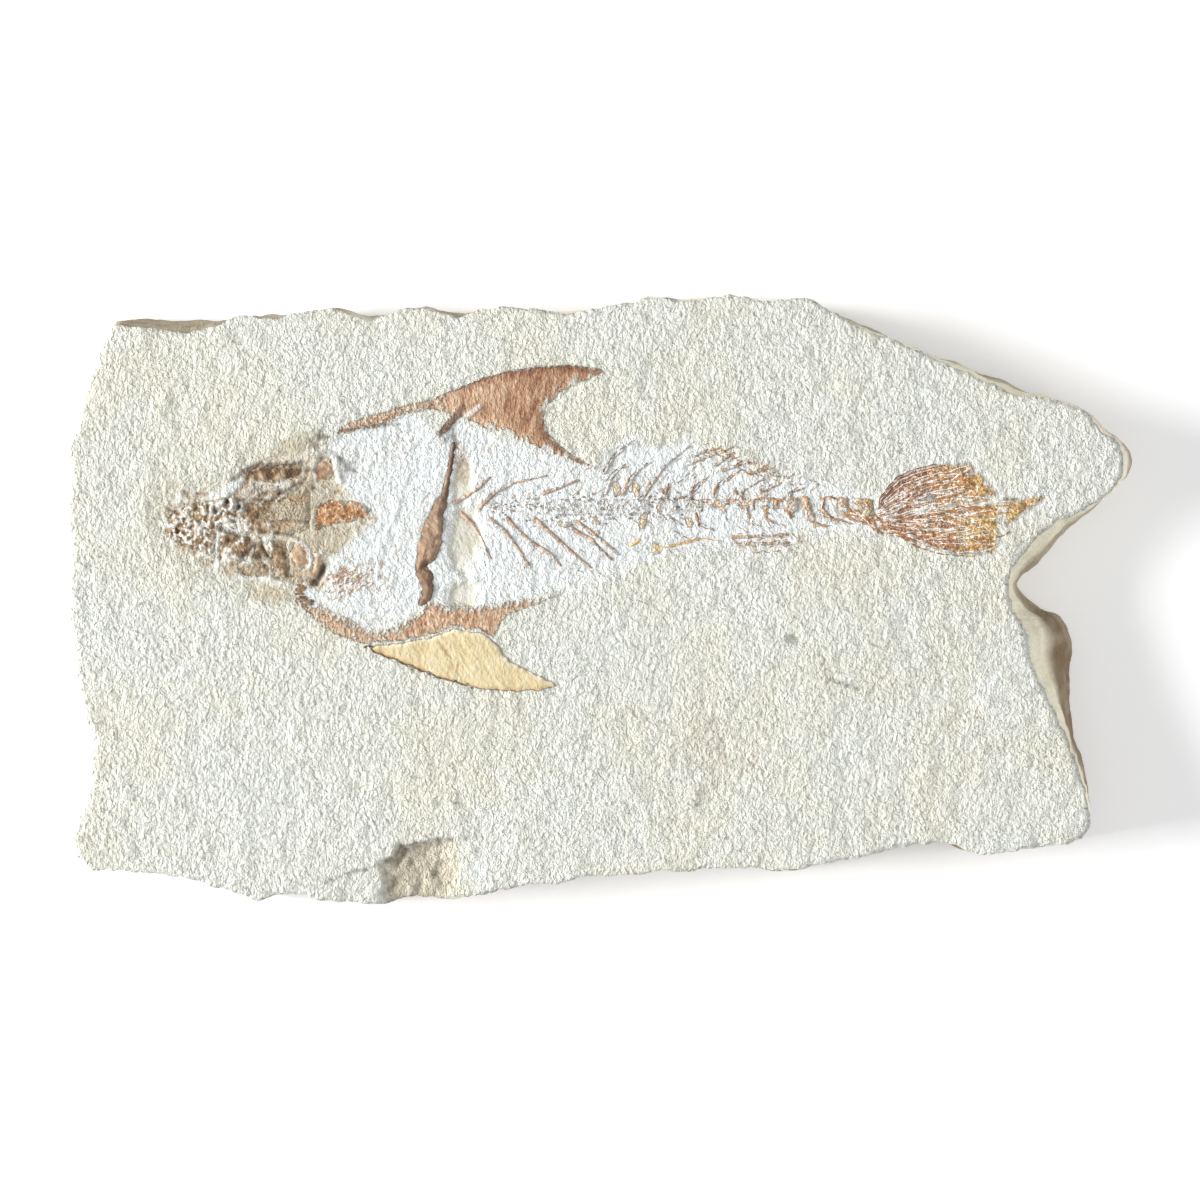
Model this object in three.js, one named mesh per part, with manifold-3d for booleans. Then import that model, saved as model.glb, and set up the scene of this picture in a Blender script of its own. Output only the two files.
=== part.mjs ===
// A fossil fish in its broken limestone slab, lying flat with the fish face up.
// Millimetres. +X runs from the snout to the tail, +Y across the slab, +Z up.
import * as THREE from 'three';
import { mergeVertices } from 'three/addons/utils/BufferGeometryUtils.js';
import Module from 'manifold-3d';

const wasm = await Module();
wasm.setup();

// Driving dimensions. Every outline below is drawn on the slab's face, in mm
// from a point near the slab's middle.
const slabThickness = 20;
const boneSeat = 1.4; // how far the bones reach down into the face
const boneRelief = 0.7; // how far most bones stand proud of the face
const skullRelief = 1.2;
const bedClearance = 0.3; // gap between a bone and the stone all round
const lowerEdgeTuck = 1.4; // the broken side turns in under the widest line
const widestHeight = 3.5;
const ridgeHeight = 9; // where the tall break on the right changes slope
const ridgeShare = 0.25; // how far in the ridge lies, from the widest line to the top edge
const chipDepth = 0.7;
const chipSlope = THREE.MathUtils.degToRad(13);
const chipInnerY = -54;
const spineWidth = 0.9;
const ribWidth = 1.1;
const rayWidth = 1.1;

const boneTop = slabThickness + boneRelief;
const skullTop = slabThickness + skullRelief;
const boneBottom = slabThickness - boneSeat;
const bedBottom = boneBottom - bedClearance;

const colours = {
  limestone: { color: 0xe9e9e0, roughness: 0.92 },
  headBone: { color: 0xb59c84, roughness: 0.7 },
  finBone: { color: 0xab7f66, roughness: 0.65 },
  paleBone: { color: 0xe9d3a2, roughness: 0.6 },
  thinBone: { color: 0xa58f7e, roughness: 0.75 },
  rustBone: { color: 0xc28c5e, roughness: 0.7 },
};

// The slab's rim, clockwise from the upper left corner: the widest line seen
// from above, then the top edge where it lies inside that line.
const slabRim = [
  // long upper side
  [-110.5, 62.6, -110.2, 61.6], [-107.4, 63.1, -106, 61.2], [-101, 62.9, -101, 60.6],
  [-93.2, 62.5, -95, 59.7], [-87, 62.5, -89.6, 60.6], [-84, 63, -84.6, 62.4],
  [-80, 64.1], [-73.5, 64.5, -73.5, 63.6], [-67.4, 64.4], [-61, 65.6],
  [-53, 64.5, -53, 63.4], [-47.2, 64.3], [-40, 66.2], [-35, 64.9], [-31.4, 64.5],
  [-21, 65.5], [-10.4, 64.3], [-5.6, 64.4], [-1, 65.2], [6, 66.4], [9.2, 67.8],
  [12.6, 67.8], [17.4, 67], [22, 67.3], [27.6, 68.2], [31, 68.4], [33.4, 67.8],
  [36.8, 66.5], [43.6, 67.7], [46.6, 67.5],
  // straight break down to the point behind the tail
  [49.6, 66.2, 48, 66.4], [56.2, 62.8, 54.5, 62.6], [65, 59.2, 64, 58.4],
  [75.4, 55, 74, 54], [84.4, 51.8, 83, 50.4], [90, 49.4, 87.5, 48.2],
  [95.4, 47.2, 92, 46.2], [105.8, 44.6, 101, 44.6], [109.2, 42.8, 107.4, 42.8],
  [112.6, 39, 112, 37.9], [117.6, 35.4, 115.5, 35.4], [119.8, 33, 116.4, 33],
  [120, 30.8, 116.8, 30.5], [119.2, 28, 116.4, 27.5], [116.6, 25, 113.8, 23.5],
  // notch in the right side
  [111.4, 20.4, 107.5, 19.4], [106.2, 16.4, 102.2, 17.6], [102.2, 12, 98.4, 14.2],
  [98.4, 7.6, 94.4, 10.2], [95.8, 5.6, 91.8, 6.4], [94.2, 3.2, 91, 3.2],
  [96, 0.4, 91.2, 0.2], [99.6, -2.2, 92.2, -3], [103.4, -3.6, 93.8, -5],
  // tall sloping break below the notch
  [105.4, -6, 94.6, -7.4], [107, -9.4, 95.2, -10.4], [106.6, -12.6, 96, -13.6],
  [106, -17, 97.6, -17.8], [105.8, -24, 100.8, -24.4], [106.6, -30, 103.8, -30.4],
  [108.4, -37, 106.4, -37.6], [110, -42.4, 108.6, -43.4], [110.2, -47, 109.4, -48],
  [109.4, -51], [107.6, -54.2],
  // long lower side
  [104.8, -55.2], [99.4, -56], [92.4, -56.8], [84.4, -57.8], [77.6, -55],
  [70.6, -55.2], [65, -56.2], [58, -58.5], [49.4, -59.5], [44.4, -61.2],
  [39, -61.7], [34, -60.6], [26, -60.8], [16, -61.6], [3.4, -62.4], [-4.6, -62.8],
  [-10.4, -64.3], [-16, -64.3], [-23, -65.7], [-28.8, -66.9], [-35.2, -68],
  [-41.4, -66.9], [-47.2, -68.2], [-52.8, -68.9], [-62.8, -67.8], [-69.6, -66.6],
  [-74.6, -67], [-77.6, -68.2], [-83.2, -66.2], [-88, -64.8], [-94.2, -62.8],
  [-100, -62.4], [-107.6, -61.6], [-115.2, -61.4],
  // left end, in front of the snout
  [-117.2, -59.4], [-119.2, -56.6], [-118.8, -52.2], [-115.8, -44.8],
  [-115.2, -38.4], [-114.4, -32.2], [-116.2, -28.2], [-117.2, -23.4],
  [-118.6, -17], [-119.4, -10.4], [-120.4, 1.6], [-119.4, 10.8], [-120.6, 18.6],
  [-119.6, 27.6], [-120.4, 34.2], [-118.6, 37.8], [-116.6, 44.6], [-113.2, 56],
];

// Where the lower edge of the face has flaked away.
const chipOutline = [
  [-64, -74], [-62.5, -64], [-57, -61.8], [-52.5, -61], [-47, -58.2], [-46, -56],
  [-37, -54.2], [-25, -53.6], [-11, -54.6], [-4, -57], [-1, -60], [1, -74],
];

// Skull plates, snout first.
const skullPlates = {
  snout: [
    [-99, 14.5], [-98, 18.4], [-95.4, 21], [-91, 21.6], [-86, 22.6], [-83, 23.5],
    [-81.8, 22.6], [-82.6, 18.5], [-82.5, 15.4], [-87.1, 15.9], [-87.4, 8.7],
    [-90, 10], [-93, 11], [-96, 12.5],
  ],
  skull_roof: [
    [-81, 26.6], [-79.6, 29], [-77, 29.8], [-70.5, 30.4], [-67.5, 30.4], [-68.6, 27],
    [-72.8, 25.9], [-78.2, 26.2], [-78.6, 23], [-80.4, 23.2],
  ],
  brow_plate: [[-77.9, 25.7], [-73.2, 25.5], [-72.6, 23], [-77.9, 22.6]],
  cheek: [
    [-81.2, 21.6], [-77, 21.8], [-73, 22.2], [-70, 23.6], [-67.5, 25.5], [-66, 24],
    [-65.9, 18], [-66.4, 15.2], [-70.5, 14], [-75, 14.2], [-78.5, 14.5],
    [-81.3, 14.7], [-82, 17],
  ],
  upper_jaw: [
    [-86.6, 15.3], [-82, 14.2], [-79.7, 13.7], [-79.2, 11.3], [-80.3, 8.5],
    [-83.7, 7], [-86.8, 8.5],
  ],
  lower_jaw: [
    [-83.1, 6.5], [-80, 7.8], [-76.5, 8.2], [-75.4, 7.4], [-75.4, 4.8], [-78, 4.6],
    [-81, 5],
  ],
  jaw_wedge: [[-79.1, 13.7], [-77, 12.4], [-75.3, 8.9], [-79.7, 8.7], [-78.7, 11.3]],
  jaw_hinge: [
    [-76.3, 13.4], [-74, 13], [-71.2, 11.7], [-70.6, 8], [-70.8, 4.3], [-72.5, 3.6],
    [-74.6, 4.7], [-74.9, 8.4],
  ],
  gill_cover: [
    [-70.4, 12.8], [-68, 12.3], [-66.6, 10.6], [-66.3, 8.6], [-67.4, 6], [-69.4, 6.6],
    [-70.1, 8],
  ],
  gill_rim: [
    [-65.7, 10.4], [-63.9, 10.4], [-63.2, 7.4], [-63.7, 5], [-65.5, 3.4], [-66.6, 5],
    [-65.8, 8.4],
  ],
  nape_plate: [
    [-65.6, 26.2], [-64.9, 29.2], [-63.6, 31.6], [-61, 31.4], [-60.6, 28], [-61.6, 26.2],
  ],
  temple_plate: [
    [-64.6, 21.4], [-61, 22], [-58.4, 22.1], [-54.5, 21.6], [-52, 20], [-53.8, 18],
    [-56.6, 17], [-60.5, 16.5], [-63, 15.6], [-65.2, 15], [-65, 18.5],
  ],
};

const shoulderBar = [
  [-34.2, 35.4], [-35, 30], [-35.4, 26.5], [-37.4, 22.5], [-39.4, 18], [-40.4, 13],
  [-42.2, 8], [-42.1, 5.2], [-40.7, 3.8], [-41.2, 1.5], [-42.2, -1.6], [-41.2, -1.4],
  [-39.8, 0.4], [-38.6, 2.4], [-38, 7.6], [-36.6, 12], [-36.6, 16.5], [-35.6, 21],
  [-34.8, 26], [-34, 31], [-33.6, 35.4],
];

// The two swept side fins. The lower one has a pale lobe fused behind it.
const upperFin = [
  [-60.4, 36.8], [-59.4, 38.8], [-56.5, 40], [-45, 43.5], [-37, 45.5], [-29, 49],
  [-22.5, 51], [-13.5, 52.4], [-6.5, 52.5], [-1, 51.6], [0.5, 51], [-3, 49.4],
  [-7.5, 47.6], [-11, 45.4], [-13.2, 42.8], [-13.6, 40], [-12.6, 37.2],
  [-10.4, 34.8], [-6.4, 31.8], [-2.6, 29.9], [-1.5, 29], [-7.5, 30.8],
  [-13.5, 33.3], [-19, 35.4], [-27, 38.3], [-31.5, 40.4], [-33.4, 40],
  [-34.4, 38.2], [-36.8, 36.4], [-37.6, 36.8], [-36.2, 39], [-34.2, 41.3],
  [-39, 42.3], [-44.5, 41.3], [-48, 39.4], [-51.5, 38.3],
];

const lowerFin = [
  [-70.2, 0.6], [-66, -1], [-60.5, -3], [-56, -5.4], [-54, -6.9], [-51.5, -7.5],
  [-48, -6.9], [-45, -5.6], [-42.5, -4], [-40.5, -2.1], [-39, -0.7], [-36, -1.8],
  [-28, -1.9], [-24.5, -1.1], [-19, -0.5], [-12, 0.2], [-8.5, 1.4], [-13.5, -0.7],
  [-16.5, -2], [-21, -3.6], [-22.6, -4.6], [-23.6, -6.5], [-25, -9.2], [-28, -7],
  [-30, -7.4], [-33.5, -6.3], [-37, -7.8], [-41.5, -8.8], [-46, -9.8], [-51.5, -10.1],
  [-53, -10.6], [-56, -9.9], [-59.5, -8.9], [-63, -6.9], [-67.5, -2.9], [-70.4, -0.3],
];

const lowerFinLobe = [
  [-51.5, -10.5], [-46, -10.2], [-41.5, -9.2], [-37, -8.2], [-33.5, -6.7], [-30, -7.8],
  [-28, -7.4], [-25, -9.6], [-23.5, -11], [-22.5, -13], [-20.5, -14.6], [-15.5, -17],
  [-11.5, -18.9], [-10.5, -20], [-13.5, -20.6], [-16.5, -21], [-23.5, -21],
  [-29, -20.4], [-33.5, -19], [-38, -17.8], [-42.5, -15.9], [-47, -14],
  [-51.5, -12.4], [-53, -11.3],
];

// Long thin bones as centre lines, from the backbone outwards.
const ribsBelow = [
  [[-32.5, 19.4], [-29.6, 16.8], [-28.2, 14.2], [-27, 12], [-25.4, 8.6]],
  [[-26, 18], [-22.6, 15.4], [-20.4, 12.6], [-19, 10.6], [-16.4, 6.6]],
  [[-22, 18.4], [-20.4, 16.2], [-16.6, 12.8], [-12, 10], [-9.6, 7]],
  [[-16, 18.2], [-12, 14.6], [-8, 11], [-5, 8.4], [-2.6, 6.6]],
  [[-9, 17], [-5.6, 14.6], [-2.6, 13.2], [-1.4, 11.4], [2, 8.4]],
  [[-6.6, 17.4], [-4.4, 16], [-0.4, 13], [3.6, 9.6]],
];

const ribsAbove = [
  [[-34.2, 21.2], [-31.4, 22.6], [-28.4, 24.6], [-25.4, 27.4]],
  [[-28.4, 19.6], [-27.4, 21], [-24.4, 23.8], [-20, 26], [-12.6, 27.6]],
  [[-14, 23.4], [-9.6, 25], [-5.6, 26.6]],
];

const backboneFront = [
  [-13.4, 18.8], [-13.6, 22], [-9, 22.4], [-3, 22.2], [4, 22.4], [10.2, 22.2],
  [10.4, 18.8], [4, 18.4], [-4, 18.7], [-9, 18.3],
];

const frontSpines = [
  [[0, 27.8], [2, 31.4], [6, 35]],
  [[0.2, 23.1], [1.6, 27], [5, 30.5]],
  [[4.2, 23.1], [5.6, 25.6], [8, 29], [11.4, 31]],
  [[9, 23.1], [11, 26], [13.6, 29.6], [19.4, 34.4]],
];

// Each vertebra behind the ribs: its body, then the spines grown on it.
const vertebrae = [
  {
    body: [[11.2, 18.6], [11.2, 22.2], [16.6, 22.2], [16.8, 18.8]],
    spines: [[[14, 21.4], [15, 26], [20, 29]], [[13, 19], [16, 17.2], [20, 15.4]]],
  },
  {
    body: [[17.6, 19.6], [17.4, 22.2], [22.4, 22.2], [22.4, 19.2]],
    spines: [[[19, 21.4], [20, 24], [24, 27.4]], [[21, 19.8], [21.6, 17], [25.4, 15]]],
  },
  {
    body: [[23.2, 20.2], [23, 22.3], [28.4, 22.3], [28.2, 19.8]],
    spines: [[[24.6, 21.4], [26, 25.4], [31.4, 29]], [[26.8, 20.6], [27.8, 17.4]]],
  },
  {
    body: [[29.2, 20.4], [29.2, 22.4], [34, 22.4], [34, 19.6]],
    spines: [[[30.4, 21.6], [31.4, 24.2], [35, 26.2]], [[31.6, 20.8], [33.4, 17], [36.4, 15.4]]],
  },
  {
    body: [[34.8, 20.4], [34.8, 22.4], [39.4, 22.4], [39.4, 19.8]],
    spines: [[[36, 21.6], [36.8, 24.4], [40.6, 26.2]], [[36, 20.8], [37, 17.6], [41.4, 16]]],
  },
  {
    body: [[40.2, 19.6], [40.2, 22.6], [43.8, 22.6], [43.6, 19]],
    spines: [[[41.4, 22], [42.4, 23.8], [46, 25]], [[42, 20], [42.8, 17.8]]],
  },
  {
    body: [[44.4, 22.6], [44.6, 20], [46, 17.4], [48, 17.6], [46.8, 20], [46.4, 22.6]],
    spines: [[[46.4, 18], [48, 16.8], [50.6, 16]]],
  },
  {
    body: [[47.8, 20.4], [49, 18.2], [51.4, 18.4], [49.4, 20.4]],
    spines: [[[49.6, 18.8], [52.4, 17.4], [56, 16.6]]],
  },
  {
    body: [[52.6, 19.8], [52.6, 22.8], [55, 22.8], [55.2, 19.6], [53.6, 18.8]],
    spines: [[[49.6, 22.6], [53.4, 22.4]], [[54, 20], [58, 17], [60.2, 16]]],
  },
];

const tailStem = [
  [56, 22.6], [60.6, 22.2], [60.8, 18], [59.8, 17.2], [57.4, 19.4],
];

// Loose-lying rays along the back and the belly.
const dorsalRays = [
  [[19.9, 31.8], [23.6, 33.6]],
  [[18.4, 29.9], [22, 31.2], [26, 32.8]],
  [[24.8, 29.7], [28.6, 32.2]],
  [[26.6, 28.6], [31.8, 30.6], [34.4, 30]],
  [[32.6, 28], [36.8, 28.8]],
];

const analRays = [
  [[28.4, 13.6], [34, 13.9], [41.6, 14.2]],
  [[30.4, 12.2], [36, 12.2], [42, 12.4]],
];

const bellyBones = [
  [[10.4, 10], [11, 12.2], [13, 12.6], [13.6, 10.8], [12, 9.4]],
  [[14.6, 12], [18, 12.9], [21.6, 13.9], [22, 13], [18.4, 11.9], [14.6, 11.2]],
];

// The tail fin: its rays hold together in three lobes.
const tailLobes = {
  tail_upper_lobe: [
    [61.4, 19.6], [62.6, 22.6], [64.4, 25.6], [66.6, 27.6], [70, 29.2], [76.6, 30.5],
    [82.4, 30.9], [85.6, 27.4], [88.4, 24.6], [88.8, 22.8], [84, 21.4], [76, 19.8],
    [68, 19.2],
  ],
  tail_lower_lobe: [
    [61.4, 18.8], [68, 18.6], [76, 19.2], [84, 20.8], [89, 22], [89.4, 16], [88.8, 11],
    [87.8, 9.6], [82.4, 9.4], [76.6, 10.2], [72, 11.4], [69.8, 13], [65.4, 13.6],
    [61.2, 14],
  ],
  tail_tip_lobe: [
    [89.4, 22.6], [93.4, 22.8], [97.8, 23.6], [100, 22.6], [97, 20], [92.4, 17],
    [90, 15.6], [89.9, 19],
  ],
};

// Closed outline of a tapering strip drawn along a centre line.
function stripOutline(path, width, tipShare = 0.5) {
  const left = [];
  const right = [];
  path.forEach((point, i) => {
    const before = path[Math.max(i - 1, 0)];
    const after = path[Math.min(i + 1, path.length - 1)];
    const along = new THREE.Vector2(after[0] - before[0], after[1] - before[1]).normalize();
    const taper = 1 - (1 - tipShare) * (i / (path.length - 1));
    const half = (width * taper) / 2;
    left.push([point[0] - along.y * half, point[1] + along.x * half]);
    right.unshift([point[0] + along.y * half, point[1] - along.x * half]);
  });
  return [...left, ...right];
}

// Unit directions that point out of a closed outline at each of its points,
// lengthened at corners so that both sides move by the same amount.
function outwardDirections(outline) {
  const points = outline.map(([x, y]) => new THREE.Vector2(x, y));
  const turn = Math.sign(THREE.ShapeUtils.area(points));
  const longest = 1.6;
  return points.map((point, i) => {
    const before = points[(i + points.length - 1) % points.length];
    const after = points[(i + 1) % points.length];
    const sideIn = point.clone().sub(before).normalize();
    const sideOut = after.clone().sub(point).normalize();
    const along = sideIn.clone().add(sideOut).normalize();
    const reach = Math.min(1 / Math.max(along.dot(sideIn), 0.1), longest);
    return new THREE.Vector2(along.y, -along.x).multiplyScalar(turn * reach);
  });
}

function grownOutline(outline, amount) {
  const outward = outwardDirections(outline);
  return outline.map(([x, y], i) => [x + outward[i].x * amount, y + outward[i].y * amount]);
}

function shapeFrom(outline) {
  return new THREE.Shape(outline.map(([x, y]) => new THREE.Vector2(x, y)));
}

// A flat-faced block of an outline between two heights.
function blockGeometry(outline, bottom, top) {
  const geometry = new THREE.ExtrudeGeometry(shapeFrom(outline), {
    depth: top - bottom,
    bevelEnabled: false,
  });
  return geometry.translate(0, 0, bottom);
}

function solidFrom(geometry) {
  const bare = geometry.clone();
  bare.deleteAttribute('normal');
  bare.deleteAttribute('uv');
  const merged = mergeVertices(bare, 1e-4);
  const mesh = new wasm.Mesh({
    numProp: 3,
    vertProperties: Float32Array.from(merged.attributes.position.array),
    triVerts: Uint32Array.from(merged.index.array),
  });
  return new wasm.Manifold(mesh);
}

function geometryFrom(solid) {
  const mesh = solid.getMesh();
  const geometry = new THREE.BufferGeometry();
  geometry.setAttribute('position', new THREE.BufferAttribute(mesh.vertProperties, 3));
  geometry.setIndex(new THREE.BufferAttribute(mesh.triVerts, 1));
  geometry.computeVertexNormals();
  return geometry;
}

function blockSolid(outline, bottom, top) {
  return solidFrom(blockGeometry(outline, bottom, top));
}

// The slab before the beds are cut: the rim drawn at four heights, tucked in
// at the base, widest just above it, and sloping back to the top edge.
function slabBlank() {
  const widest = slabRim.map(([x, y]) => [x, y]);
  const topEdge = slabRim.map(([x, y, topX = x, topY = y]) => [topX, topY]);
  const ridge = widest.map(([x, y], i) => [
    x + (topEdge[i][0] - x) * ridgeShare,
    y + (topEdge[i][1] - y) * ridgeShare,
  ]);
  const levels = [
    { height: 0, outline: grownOutline(widest, -lowerEdgeTuck) },
    { height: widestHeight, outline: widest },
    { height: ridgeHeight, outline: ridge },
    { height: slabThickness, outline: topEdge },
  ];
  const steps = levels.length - 1;
  const geometry = new THREE.ExtrudeGeometry(shapeFrom(widest), {
    depth: steps,
    steps,
    bevelEnabled: false,
  });
  const position = geometry.attributes.position;
  for (let i = 0; i < position.count; i += 1) {
    const level = levels[Math.round(position.getZ(i))];
    const rimIndex = nearestIndex(widest, position.getX(i), position.getY(i));
    position.setXYZ(i, ...level.outline[rimIndex], level.height);
  }
  return solidFrom(geometry);
}

function nearestIndex(outline, x, y) {
  const distances = outline.map((point) => Math.hypot(point[0] - x, point[1] - y));
  return distances.indexOf(Math.min(...distances));
}

// The flake lost from the lower edge, deepest at the rim.
function edgeChip() {
  const clearAbove = 12;
  const flake = blockGeometry(chipOutline, 0, clearAbove);
  flake.translate(0, -chipInnerY, 0);
  flake.rotateX(chipSlope);
  flake.translate(0, chipInnerY, slabThickness - chipDepth);
  return solidFrom(flake);
}

function vertebraSolid({ body, spines }) {
  const trunk = blockSolid(body, boneBottom, boneTop);
  return spines.reduce(
    (solid, path) => solid.add(blockSolid(stripOutline(path, spineWidth), boneBottom, boneTop)),
    trunk,
  );
}

function vertebraBed({ body, spines }) {
  const outlines = [body, ...spines.map((path) => stripOutline(path, spineWidth))];
  return outlines
    .map(bedSolid)
    .reduce((cut, next) => cut.add(next));
}

function bedSolid(outline) {
  return blockSolid(grownOutline(outline, bedClearance), bedBottom, boneTop);
}

const bones = [];

function addBone(name, material, outline, top = boneTop) {
  bones.push({
    name,
    material,
    solid: blockSolid(outline, boneBottom, top),
    bed: bedSolid(outline),
  });
}

function addNumberedBones(prefix, material, outlines) {
  outlines.forEach((outline, i) => addBone(`${prefix}_${i + 1}`, material, outline));
}

Object.entries(skullPlates).forEach(([name, outline]) => {
  addBone(name, 'headBone', outline, name === 'snout' ? skullTop : boneTop);
});
addBone('shoulder_bar', 'headBone', shoulderBar);
addBone('upper_fin', 'finBone', upperFin);
addBone('lower_fin', 'finBone', lowerFin);
addBone('lower_fin_lobe', 'paleBone', lowerFinLobe);
addNumberedBones('rib_below', 'thinBone', ribsBelow.map((path) => stripOutline(path, ribWidth)));
addNumberedBones('rib_above', 'thinBone', ribsAbove.map((path) => stripOutline(path, ribWidth)));
addBone('backbone_front', 'thinBone', backboneFront);
addNumberedBones('front_spine', 'thinBone', frontSpines.map((path) => stripOutline(path, spineWidth)));
vertebrae.forEach((vertebra, i) => {
  bones.push({
    name: `vertebra_${i + 1}`,
    material: 'thinBone',
    solid: vertebraSolid(vertebra),
    bed: vertebraBed(vertebra),
  });
});
addBone('tail_stem', 'rustBone', tailStem);
addNumberedBones('dorsal_ray', 'rustBone', dorsalRays.map((path) => stripOutline(path, rayWidth)));
addNumberedBones('anal_ray', 'rustBone', analRays.map((path) => stripOutline(path, rayWidth)));
addNumberedBones('belly_bone', 'paleBone', bellyBones);
Object.entries(tailLobes).forEach(([name, outline]) => addBone(name, 'rustBone', outline));

const beds = bones.map(({ bed }) => bed).reduce((cut, next) => cut.add(next));
const slab = slabBlank().subtract(edgeChip()).subtract(beds);

function namedMesh(name, material, solid) {
  const mesh = new THREE.Mesh(
    geometryFrom(solid),
    new THREE.MeshStandardMaterial({ ...colours[material], metalness: 0 }),
  );
  mesh.name = name;
  return mesh;
}

const part = new THREE.Group();
part.add(namedMesh('slab', 'limestone', slab));
bones.forEach(({ name, material, solid }) => part.add(namedMesh(name, material, solid)));

// The origin is the middle of the footprint, on the underside.
const middle = new THREE.Box3().setFromObject(part).getCenter(new THREE.Vector3());
part.position.set(-middle.x, -middle.y, 0);

export default part;
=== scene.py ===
import itertools
import math

import bpy
import numpy as np
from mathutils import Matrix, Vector
from mathutils.geometry import delaunay_2d_cdt


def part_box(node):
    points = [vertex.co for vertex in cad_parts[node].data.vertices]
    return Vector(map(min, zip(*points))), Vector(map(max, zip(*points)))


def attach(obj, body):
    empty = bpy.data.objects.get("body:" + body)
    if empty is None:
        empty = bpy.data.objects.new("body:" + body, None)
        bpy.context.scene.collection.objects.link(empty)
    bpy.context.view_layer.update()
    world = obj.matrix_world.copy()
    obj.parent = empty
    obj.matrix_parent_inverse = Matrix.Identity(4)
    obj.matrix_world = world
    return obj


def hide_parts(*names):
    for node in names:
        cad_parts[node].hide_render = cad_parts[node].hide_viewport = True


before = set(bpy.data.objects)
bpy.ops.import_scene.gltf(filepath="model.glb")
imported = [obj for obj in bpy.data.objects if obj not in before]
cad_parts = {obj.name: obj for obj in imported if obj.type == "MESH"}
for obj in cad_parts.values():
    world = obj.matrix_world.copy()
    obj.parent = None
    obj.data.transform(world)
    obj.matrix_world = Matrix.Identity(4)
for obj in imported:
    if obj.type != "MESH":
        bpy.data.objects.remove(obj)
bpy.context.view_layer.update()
nodeNames = sorted(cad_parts)
mm = 0.001  # everything below is worked out in millimetres and turned to metres in makeMesh


# small sums used everywhere

def smoothstep(low, high, value):
    t = np.clip((value - low) / (high - low), 0, 1)
    return t * t * (3 - 2 * t)


def mixed(first, second, share):
    return first + (second - first) * share


def latticeSlopes(cells, seed):
    primes = (73856093, 19349663, 83492791)
    slopes = np.empty(cells.shape)
    for axis in range(cells.shape[1]):
        code = np.full(len(cells), seed * 7919 + axis * 104729 + 1, dtype=np.uint64)
        for k in range(cells.shape[1]):
            cell = (cells[:, k] & 0xffffffff).astype(np.uint64)
            code = (code ^ (cell * np.uint64(primes[k]))) & np.uint64(0xffffffff)
            code = (code * np.uint64(2654435761)) & np.uint64(0xffffffff)
            code ^= code >> np.uint64(15)
        slopes[:, axis] = code / 0xffffffff * 2 - 1
    return slopes


# smooth gradient noise, about -1 to 1; size is one number or one for each axis, in mm
def grain(points, size, seed):
    cell = points / np.asarray(size, float)
    low = np.floor(cell).astype(np.int64)
    part = cell - low
    fade = part ** 3 * (part * (part * 6 - 15) + 10)
    total = np.zeros(len(points))
    for corner in itertools.product((0, 1), repeat=points.shape[1]):
        step = np.array(corner)
        weight = np.where(step == 1, fade, 1 - fade).prod(axis=1)
        total += weight * ((part - step) * latticeSlopes(low + step, seed)).sum(axis=1)
    return total * 2.2


def rough(points, size, seed, octaves=3, fall=0.5):
    total, weight = np.zeros(len(points)), 1.0
    for k in range(octaves):
        total += weight * grain(points, np.asarray(size, float) / 2 ** k, seed + 17 * k)
        weight *= fall
    return total


def turned(points, degrees):
    angle = math.radians(degrees)
    across = points[:, 0] * math.cos(angle) - points[:, 1] * math.sin(angle)
    along = points[:, 0] * math.sin(angle) + points[:, 1] * math.cos(angle)
    return np.column_stack([across, along])


# points shaken a little to each side, by two grains
def shaken(points, amount, sizes, seeds):
    return points + amount * np.column_stack([grain(points, size, seed) for size, seed in zip(sizes, seeds)])


def strongest(*layers):
    return np.maximum.reduce(layers)


# distance to the outline, positive inside it
def depthInside(points, outline, closed=True):
    nearest = np.full(len(points), 1e9)
    inside = np.zeros(len(points), bool)
    px, py = points[:, 0], points[:, 1]
    last = len(outline) if closed else len(outline) - 1
    for k in range(last):
        ax, ay = outline[k]
        bx, by = outline[(k + 1) % len(outline)]
        dx, dy = bx - ax, by - ay
        share = np.clip(((px - ax) * dx + (py - ay) * dy) / max(dx * dx + dy * dy, 1e-9), 0, 1)
        nearest = np.minimum(nearest, (px - ax - share * dx) ** 2 + (py - ay - share * dy) ** 2)
        if closed and ay != by:
            crosses = (ay > py) != (by > py)
            inside ^= crosses & (px < dx * (py - ay) / dy + ax)
    distance = np.sqrt(nearest)
    return np.where(inside, distance, -distance)


# a soft curve through a few places
def curve(line, step=0.35):
    line = np.array(line, float)
    padded = np.vstack([2 * line[0] - line[1], line, 2 * line[-1] - line[-2]])
    out = []
    for k in range(1, len(padded) - 2):
        a, b, c, d = padded[k - 1:k + 3]
        count = max(2, int(np.hypot(*(c - b)) / step))
        t = (np.arange(count) / count)[:, None]
        out.append(b + 0.5 * t * (c - a + t * (2 * a - 5 * b + 4 * c - d + t * (3 * (b - c) + d - a))))
    return np.vstack(out + [line[-1:]])


# how strongly a point lies on a drawn line, 1 on it and 0 beyond its width
def onLine(points, line, width):
    line = np.array(line)
    low, high = line.min(0) - width * 2, line.max(0) + width * 2
    close = ((points > low) & (points < high)).all(axis=1)
    strength = np.zeros(len(points))
    if close.any():
        strength[close] = 1 - smoothstep(width * 0.35, width, -depthInside(points[close], line, False))
    return strength


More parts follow.
